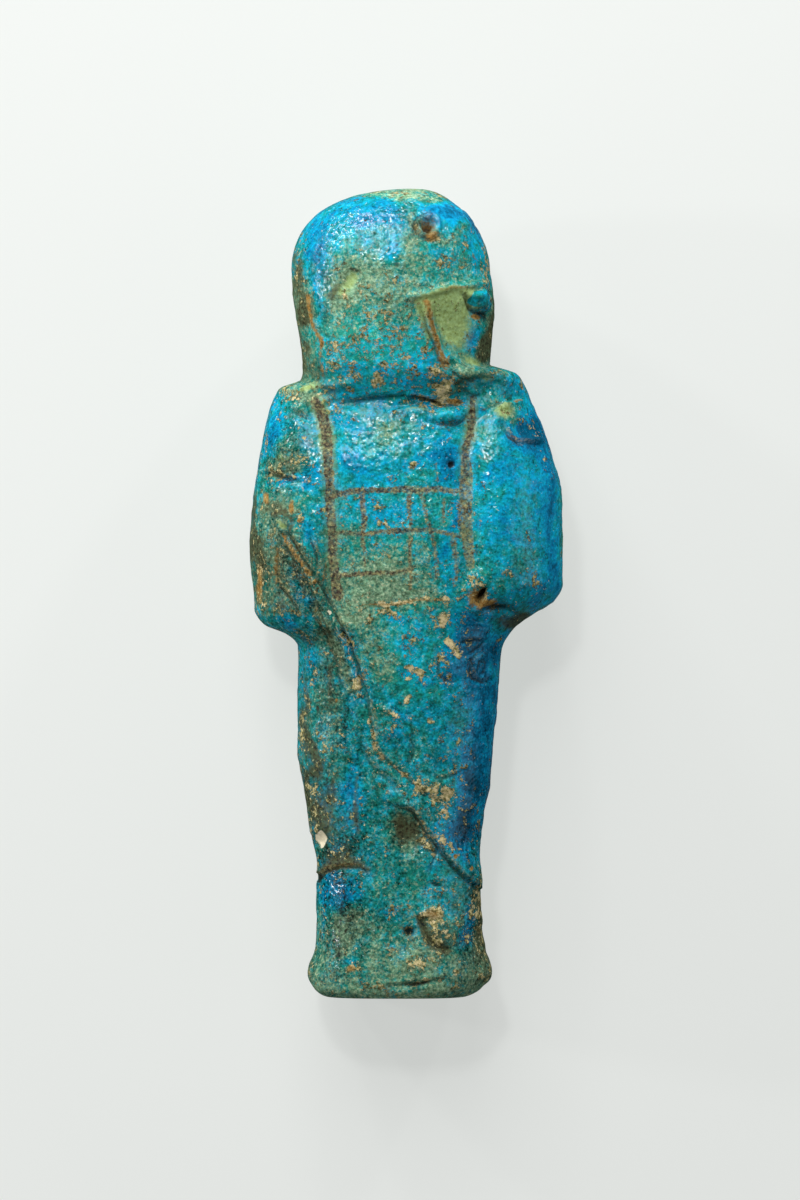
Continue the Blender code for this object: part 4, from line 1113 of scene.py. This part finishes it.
def keep_attributes(mesh, values):
    """Stores each value on the mesh's points, with the mean of the nearest ring at both ends."""
    for name, value in values.items():
        flat = np.concatenate([value.ravel(), [value[0].mean(), value[-1].mean()]])
        mesh.attributes.new(name, "FLOAT", "POINT").data.foreach_set("value", flat)


# Every value that the mesh carries for the material.
GLAZE_VALUES = (
    "glaze_shade", "glaze_tone_and_painted_light", "film", "crust", "stain", "scar", "rust", "bare", "dirt_and_painted_shade", "gloss",
    "line_gap", "line_faded", "line_halo", "crease_gap", "crease_painted_shade", "crease_pale_and_highlight",
)
# The glaze's noises: size in metres, detail, roughness, and how the place is stretched.
NOISES = {
    "mottle": (0.0030, 4, 0.60),
    "speckle": (0.00095, 4, 0.68),
    "grain": (0.00034, 3, 0.65),
    "crumbs": (0.0017, 4, 0.88),
    "tone": (0.00046, 3, 0.70),
    "dust": (0.00060, 5, 0.80),
    "streaks": (0.0017, 5, 0.72, (1.0, 0.42, 1.0)),
    "ripples": (0.00085, 1.5, 0.50),
}
DARKEST_LIGHT = 0.08
GLAZE_IOR = 1.55
BUMP_DEPTH = 0.00030


class Shader:
    """Adds nodes to one material and joins them. A plain number or colour goes into the socket."""

    def __init__(self, name, colours):
        self.material = bpy.data.materials.new(name)
        self.material.use_nodes = True
        self.tree = self.material.node_tree
        self.surface = self.tree.nodes["Principled BSDF"]
        self.place = self.tree.nodes.new("ShaderNodeTexCoord").outputs["Object"]
        self.colours = colours

    def colour(self, name):
        """A colour of the settings, with its alpha."""
        return (*getattr(self.colours, name), 1.0)

    def put(self, socket, value):
        if isinstance(value, bpy.types.NodeSocket):
            self.tree.links.new(value, socket)
        else:
            socket.default_value = value

    def finish(self, **values):
        """Puts values into the surface's own sockets, which are named with _ for a space."""
        for name, value in values.items():
            self.put(self.surface.inputs[name.replace("_", " ")], value)

    def add(self, kind, inputs, output=0, **settings):
        node = self.tree.nodes.new(kind)
        for key, value in settings.items():
            setattr(node, key, value)
        for key, value in inputs.items():
            self.put(node.inputs[key], value)
        return node.outputs[output]

    def carried(self, name):
        return self.add("ShaderNodeAttribute", {}, "Fac", attribute_name=name)

    def math(self, operation, first, second=0.0, third=0.0):
        return self.add("ShaderNodeMath", {0: first, 1: second, 2: third}, operation=operation)

    def total(self, start, *weighted):
        """The start plus each value times its weight."""
        for value, weight in weighted:
            start = self.math("MULTIPLY_ADD", value, weight, start)
        return start

    def each(self, operation, first, *others):
        """The operation on the first value and the next, then on the outcome and the next."""
        for other in others:
            first = self.math(operation, first, other)
        return first

    def noise(self, size, detail, roughness, stretch=None):
        place = self.place
        if stretch:
            place = self.add("ShaderNodeMapping", {"Vector": place, "Scale": stretch})
        inputs = {"Vector": place, "Scale": 1 / size, "Detail": detail, "Roughness": roughness}
        return self.add("ShaderNodeTexNoise", inputs, "Fac")

    def span(self, value, low, high, to_low=0.0, to_high=1.0):
        inputs = {"Value": value, "From Min": low, "From Max": high, "To Min": to_low, "To Max": to_high}
        return self.add("ShaderNodeMapRange", inputs, interpolation_type="SMOOTHSTEP")

    def mix(self, share, first, second, blend="MIX"):
        inputs = {0: share, 6: first, 7: second}
        return self.add("ShaderNodeMix", inputs, 2, data_type="RGBA", blend_type=blend)

    def ramp(self, value, **places):
        """A blend of named colours, each at its place along the value."""
        node = self.tree.nodes.new("ShaderNodeValToRGB")
        self.put(node.inputs["Fac"], value)
        elements = node.color_ramp.elements
        while len(elements) < len(places):
            elements.new(0.5)
        for element, (name, place) in zip(elements, places.items()):
            element.position = place
            element.color = self.colour(name)
        return node.outputs["Color"]


def faience_material(colours):
    """Old faience glaze: shades from teal to navy, film, crust, scars, rust, painted lines, dirt, and painted
    light and shade.
    """
    shader = Shader("faience", colours)
    total, each, span, mix, ramp = shader.total, shader.each, shader.span, shader.mix, shader.ramp
    carried = {name: shader.carried(name) for name in GLAZE_VALUES}
    noises = (shader.noise(*values) for values in NOISES.values())
    mottle, speckle, grain, crumbs, tone, dust, streaks, ripples = noises
    gloss, soil = carried["gloss"], shader.colour("soil")
    clean = span(gloss, 1.05, 1.5)

    shade = total(-1.07, (carried["glaze_shade"], 1.0), (mottle, 0.90), (dust, 0.45), (speckle, 0.80))
    colour = ramp(shade, sea_green=0.30, teal=0.43, turquoise=0.56, azure=0.69, blue=0.82, navy=0.95)

    film = total(-0.2, (grain, 0.4), (dust, 1.1), (streaks, 0.4), (carried["film"], 0.50), (clean, -0.5))
    film = span(film, 0.88, 1.12, 0.0, 0.95)
    colour = mix(film, colour, ramp(tone, film_shade=0.34, film=0.50, film_light=0.64))

    # The noises vary the glaze's own tone; the carried lightness is partly painted light and shade.
    light = total(-2.00, (grain, 2.6), (speckle, 1.9), (streaks, 1.6), (carried["glaze_tone_and_painted_light"], 1.0))
    colour = mix(1.0, colour, each("MAXIMUM", light, DARKEST_LIGHT), "MULTIPLY")

    # Stain, and painted shade in the same colours.
    stain = span(total(carried["stain"], (grain, 0.4), (dust, 0.9)), 0.82, 1.45, 0.0, 0.92)
    colour = mix(stain, colour, ramp(tone, soil=0.36, stain=0.50, film_shade=0.64))

    scar = span(total(carried["scar"], (dust, 0.9), (clean, -1.5)), 0.70, 1.24)
    colour = mix(scar, colour, ramp(tone, scar=0.30, scar_light=0.62))

    crumbs = total(-0.175, (crumbs, 1.0), (clean, -0.3), (mottle, 0.35), (carried["crust"], 0.27))
    colour = mix(span(crumbs, 0.575, 0.615, 0.0, 0.50), colour, soil)
    crust = span(crumbs, 0.615, 0.645)
    thick = total(-0.01, (tone, 1.0), (carried["crust"], 0.16))
    crust_colour = ramp(thick, soil=0.31, brown=0.42, tan=0.53, cream=0.66)
    crust_colour = mix(span(dust, 0.60, 0.68, 0.0, 0.45), crust_colour, shader.colour("orange"))
    colour = mix(crust, colour, crust_colour)

    rust = span(total(carried["rust"], (dust, 0.9)), 0.72, 1.10)
    colour = mix(rust, colour, ramp(tone, brown=0.34, rust=0.50, tan=0.68))

    # Creases: a dark foot on the crease itself, which is painted shade, and a pale lip to its left, partly
    # tan crust and partly painted highlight.
    gap = total(-0.30, (carried["crease_gap"], 1.0), (dust, 0.6))
    foot = span(shader.math("ABSOLUTE", gap), 0.25, 0.06)
    foot = each("MULTIPLY", foot, carried["crease_painted_shade"], span(speckle, 0.36, 0.56, 0.30, 1.0))
    lip = span(shader.math("ABSOLUTE", total(-0.42, (gap, 1.0))), 0.30, 0.10)
    lip = each("MULTIPLY", lip, carried["crease_pale_and_highlight"], span(grain, 0.42, 0.56))
    colour = mix(foot, colour, ramp(tone, soil=0.40, brown=0.60))
    colour = mix(lip, colour, ramp(tone, brown=0.38, rust=0.48, tan=0.56, cream=0.66))

    # Painted lines, with a halo of thin glaze along the straps.
    gap = total(-0.70, (carried["line_gap"], 1.0), (grain, 0.6), (dust, 0.8))
    halo = each("MULTIPLY", span(gap, 0.75, 0.15, 0.0, 0.75), carried["line_halo"])
    colour = mix(halo, colour, shader.colour("scar"))
    line = span(gap, 0.16, -0.10)
    worn = span(total(dust, (carried["line_faded"], 0.06)), 0.44, 0.72, 0.96, 0.35)
    paint = total(tone, (carried["line_faded"], 0.07))
    paint = ramp(paint, paint=0.42, faded_paint=0.53, tan=0.66)
    colour = mix(each("MULTIPLY", line, worn), colour, paint)

    bare = span(total(carried["bare"], (dust, 0.5)), 0.70, 0.90)
    colour = mix(bare, colour, shader.colour("body"))
    # Dirt, and painted shade in hollows and creases, go towards the near-black soil colour.
    dirt_and_painted_shade = span(total(carried["dirt_and_painted_shade"], (dust, 0.9)), 0.72, 1.30, 0.0, 0.90)
    colour = mix(dirt_and_painted_shade, colour, soil)
    marks = total(0.0, (clean, -0.3), (carried["crust"], 0.07))
    black = span(total(dust, (marks, 1.0)), 0.640, 0.700, 0.0, 0.85)
    colour = mix(black, colour, soil)
    salt = span(total(tone, (marks, 1.0)), 0.665, 0.705, 0.0, 0.9)
    colour = mix(salt, colour, shader.colour("cream"))

    # What lies on the glaze is rough and has no sheen of its own.
    rough = each("MAXIMUM", crust, rust, dirt_and_painted_shade, scar, line, film, stain)
    roughness = total(span(gloss, 0.0, 1.0, 0.09, 0.04), (rough, 0.42))
    sheen = each("MULTIPLY", span(gloss, -1.0, 1.0, 0.02, 0.50), total(1.0, (rough, -0.80)))
    height = total(0.0, (grain, 0.15), (ripples, 1.4), (crust, 0.30), (black, -0.5), (lip, 0.5), (foot, -0.9))
    strength = each("MULTIPLY", span(gloss, 0.2, 0.6, 0.45, 1.0), span(clean, 0.0, 1.0, 1.0, 0.15))
    bump = {"Height": height, "Distance": BUMP_DEPTH, "Strength": strength}
    shader.finish(
        Base_Color=colour,
        Roughness=roughness,
        Specular_IOR_Level=sheen,
        IOR=GLAZE_IOR,
        Normal=shader.add("ShaderNodeBump", bump, "Normal"),
    )
    return shader.material


# The pale card's finish, and how far its glow changes, as a share, over this reach along y.
CARD_ROUGHNESS = 0.9
CARD_SHEEN = 0.1
GLOW_REACH = 0.08
GLOW_CHANGE = 0.03


def card_material(settings):
    """Pale card that also glows, as a table lit from below does, a little more towards the head."""
    shader = Shader("pale_card", settings)
    across = shader.add("ShaderNodeSeparateXYZ", {"Vector": shader.place}, "Y")
    glow = {
        "Value": across,
        "From Min": -GLOW_REACH,
        "From Max": GLOW_REACH,
        "To Min": settings.floor_glow * (1 - GLOW_CHANGE),
        "To Max": settings.floor_glow * (1 + GLOW_CHANGE),
    }
    shader.finish(
        Base_Color=shader.colour("floor_colour"),
        Roughness=CARD_ROUGHNESS,
        Specular_IOR_Level=CARD_SHEEN,
        Emission_Color=shader.colour("floor_colour"),
        Emission_Strength=shader.add("ShaderNodeMapRange", glow),
    )
    return shader.material


def number_property(name, description, default, low=0.0, **more):
    """A number that the sidebar shows."""
    return bpy.props.FloatProperty(name=name, description=description, default=default, min=low, **more)


def size_property(name, description, default, **more):
    """A length that the sidebar shows."""
    return number_property(name, description, default, unit="LENGTH", **more)


def colour_property(name, description, default):
    """A colour that the sidebar shows."""
    return bpy.props.FloatVectorProperty(
        name=name, description=description, default=default, size=3, min=0.0, max=1.0, subtype="COLOR"
    )


class UshabtiSizes(bpy.types.PropertyGroup):
    """Sizes of the figure, taken from its solid."""

    worn_flat: size_property("Worn flat", "How much is worn off where it rests", WORN_FLAT, precision=5)
    sole_rounding: size_property("Sole rounding", "Radius of the edge round the sole", 0.0014, precision=5)
    length: size_property("Length", "From the sole to the crown", solid_size[1])
    width: size_property(
        "Width", "Across the elbows, over the share that the outlines fill", solid_size[0] / SOLID_WIDEST
    )
    depth: size_property("Depth", "From the front to the back, before it is worn", solid_size[2] + WORN_FLAT)
    grain: number_property("Grain", "Height of the ripples in the glaze, 1 as found", 1.0, max=4.0)


class UshabtiColours(bpy.types.PropertyGroup):
    """Colours of the glaze and of what lies on it, some also used for painted shade."""

    sea_green: colour_property("Sea green", "Glaze that has turned green", (0.009, 0.190, 0.145))
    teal: colour_property("Teal", "Green-blue glaze", (0.006, 0.235, 0.235))
    turquoise: colour_property("Turquoise", "Turquoise glaze", (0.003, 0.275, 0.365))
    azure: colour_property("Azure", "Sky-blue glaze", (0.002, 0.265, 0.450))
    blue: colour_property("Blue", "Bright blue glaze", (0.002, 0.165, 0.325))
    navy: colour_property("Navy", "Deepest blue glaze", (0.001, 0.082, 0.152))
    film_shade: colour_property("Film, dark", "Dusty film in its darkest grains", (0.060, 0.105, 0.050))
    film: colour_property("Film", "Dusty green film on the glaze", (0.125, 0.225, 0.130))
    film_light: colour_property("Film, light", "Dusty film in its lightest grains", (0.260, 0.350, 0.215))
    # Also used for painted shade below the right elbow, under the crack's flap and round the loop.
    stain: colour_property("Stain", "Olive-brown stain", (0.075, 0.072, 0.034))
    scar: colour_property("Scar", "Yellow-green body where the glaze is thin", (0.235, 0.305, 0.088))
    scar_light: colour_property("Scar, light", "Lighter grains of the thin glaze", (0.345, 0.510, 0.215))
    rust: colour_property("Rust", "Orange-brown stain", (0.330, 0.170, 0.040))
    orange: colour_property("Orange", "Orange grains of the crust", (0.470, 0.300, 0.100))
    brown: colour_property("Brown", "Olive-brown crust", (0.085, 0.078, 0.030))
    tan: colour_property("Tan", "Tan crust", (0.300, 0.280, 0.115))
    cream: colour_property("Cream", "Lightest crust", (0.660, 0.545, 0.300))
    body: colour_property("Body", "Bare, sandy body in the chips", (0.680, 0.610, 0.440))
    # Also used for painted shade in hollows, creases and at the foot of each crease.
    soil: colour_property("Soil", "Dark dirt in the hollows", (0.014, 0.012, 0.007))
    paint: colour_property("Paint", "Purple-brown painted line", (0.030, 0.017, 0.018))
    faded_paint: colour_property("Faded paint", "Painted line that has gone brown", (0.130, 0.098, 0.058))


class UshabtiStage(bpy.types.PropertyGroup):
    """The studio: a pale floor, soft light and a camera that looks straight down."""

    floor_size: size_property("Floor size", "Side of the square floor", 3.0)
    floor_colour: colour_property("Floor", "Pale floor", (0.270, 0.278, 0.270))
    floor_glow: number_property("Floor glow", "Light that the floor gives off", 2.02)
    sky: number_property("Sky", "Strength of the even white light", 0.05)
    key_power: number_property("Key light", "Its power", 3.0, unit="POWER")
    spark_power: number_property(
        "Spark lights", "Power of each small light, which gives the glaze its glints", 1.2, unit="POWER"
    )
    side_power: number_property("Side lights", "Power of each", 0.5, unit="POWER")
    key_size: size_property("Key size", "Side of the key light's square", 0.50)
    key_distance: size_property("Key distance", "From the figure to each light", 0.70)
    frame_height: size_property("Framed height", "What the picture's height spans at the figure", 0.16344)
    lens: number_property("Lens", "Focal length of the camera", 0.250, low=0.01, unit="CAMERA")
    sensor: size_property("Sensor", "Long side of the camera's sensor", 0.036)


class USHABTI_OT_figure(bpy.types.Operator):
    """Build the glazed skin of the figure in place of its solid"""

    bl_idname = "ushabti.figure"
    bl_label = "Figure"

    def execute(self, context):
        sizes, colours = context.scene.ushabti_sizes, context.scene.ushabti_colours
        points, glaze = carved_skin(sizes)
        figure = bpy.data.objects.new("glazed_figure", closed_mesh("glazed_figure", points))
        keep_attributes(figure.data, glaze)
        figure.data.materials.append(faience_material(colours))
        context.scene.collection.objects.link(figure)
        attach(figure, "root")
        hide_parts("ushabti")
        return {"FINISHED"}


# The ways from the figure to the lights, each to be made a unit long.
KEY_WAY = (-0.16, 0.72, 0.68)
SPARK_WAYS = (
    (-0.94, 0.14, 0.32), (-0.72, 0.62, 0.30), (-0.42, 0.88, 0.22), (-0.06, 0.95, 0.30), (0.50, 0.82, 0.28),
    (-0.15, 0.42, 0.90),
)
SIDE_WAYS = ((-1, -0.12, 0.50), (1, -0.12, 0.50))
# The side of a spark light as a share of the key light's.
SPARK_SHARE = 1 / 8
# Where the camera looks down, beside the origin.
CAMERA_PLACE = (-0.00085, -0.0009)
CAMERA_CLIP = 0.01
METRES_TO_MM = 1000
WHITE = (1.0, 1.0, 1.0, 1.0)


def area_light(context, name, way, distance, size, power):
    """A square white light along the way, which faces the middle of the figure."""
    light = bpy.data.objects.new(name, bpy.data.lights.new(name, "AREA"))
    light.data.shape = "SQUARE"
    light.data.size = size
    light.data.energy = power
    light.location = Vector(way).normalized() * distance
    light.rotation_euler = (-light.location).to_track_quat("-Z", "Y").to_euler()
    context.scene.collection.objects.link(light)


def floor_mesh(side):
    """A square on z = 0 as a grid: x and y each run over the side."""
    steps = np.linspace(-side / 2, side / 2, 9)
    y, x = np.meshgrid(steps, steps, indexing="ij")
    index = np.arange(x.size).reshape(x.shape)
    faces = np.stack([index[:-1, :-1], index[:-1, 1:], index[1:, 1:], index[1:, :-1]], axis=-1).reshape(-1, 4)
    mesh = bpy.data.meshes.new("floor")
    mesh.from_pydata(np.stack([x, y, 0 * x], axis=-1).reshape(-1, 3).tolist(), [], faces.tolist())
    mesh.update()
    return mesh


class USHABTI_OT_stage(bpy.types.Operator):
    """Build the floor, the lights and the camera"""

    bl_idname = "ushabti.stage"
    bl_label = "Stage"

    def execute(self, context):
        settings, scene = context.scene.ushabti_stage, context.scene
        floor = bpy.data.objects.new("floor", floor_mesh(settings.floor_size))
        floor.data.materials.append(card_material(settings))
        scene.collection.objects.link(floor)
        floor.visible_glossy = False

        world = bpy.data.worlds.new("studio")
        world.use_nodes = True
        background = world.node_tree.nodes["Background"]
        background.inputs["Color"].default_value = WHITE
        background.inputs["Strength"].default_value = settings.sky
        scene.world = world
        scene.view_settings.view_transform = "Standard"

        size, distance = settings.key_size, settings.key_distance
        area_light(context, "key", KEY_WAY, distance, size, settings.key_power)
        for way in SPARK_WAYS:
            area_light(context, "spark", way, distance, size * SPARK_SHARE, settings.spark_power)
        for way in SIDE_WAYS:
            area_light(context, "side", way, distance, size, settings.side_power)

        camera = bpy.data.objects.new("camera", bpy.data.cameras.new("camera"))
        camera.data.lens = settings.lens * METRES_TO_MM
        camera.data.sensor_width = settings.sensor * METRES_TO_MM
        camera.data.clip_start = CAMERA_CLIP
        rise = settings.frame_height * settings.lens / settings.sensor
        camera.location = (*CAMERA_PLACE, solid_size[2] / 2 + rise)
        scene.collection.objects.link(camera)
        scene.camera = camera
        return {"FINISHED"}


class USHABTI_PT_panel(bpy.types.Panel):
    """Lists the sizes, the colours and the two builders"""

    bl_idname = "USHABTI_PT_panel"
    bl_label = "Ushabti"
    bl_space_type = "VIEW_3D"
    bl_region_type = "UI"
    bl_category = "Ushabti"

    def draw(self, context):
        for group, operator in (
            (context.scene.ushabti_sizes, None),
            (context.scene.ushabti_colours, USHABTI_OT_figure),
            (context.scene.ushabti_stage, USHABTI_OT_stage),
        ):
            box = self.layout.box()
            for name in group.__annotations__:
                box.prop(group, name)
            if operator:
                box.operator(operator.bl_idname)


CLASSES = (UshabtiSizes, UshabtiColours, UshabtiStage, USHABTI_OT_figure, USHABTI_OT_stage, USHABTI_PT_panel)


def register():
    for kind in CLASSES:
        bpy.utils.register_class(kind)
    bpy.types.Scene.ushabti_sizes = bpy.props.PointerProperty(type=UshabtiSizes)
    bpy.types.Scene.ushabti_colours = bpy.props.PointerProperty(type=UshabtiColours)
    bpy.types.Scene.ushabti_stage = bpy.props.PointerProperty(type=UshabtiStage)


def unregister():
    del bpy.types.Scene.ushabti_stage
    del bpy.types.Scene.ushabti_colours
    del bpy.types.Scene.ushabti_sizes
    for kind in reversed(CLASSES):
        bpy.utils.unregister_class(kind)


def main():
    register()
    bpy.ops.ushabti.figure()
    bpy.ops.ushabti.stage()


if __name__ == "__main__":
    main()
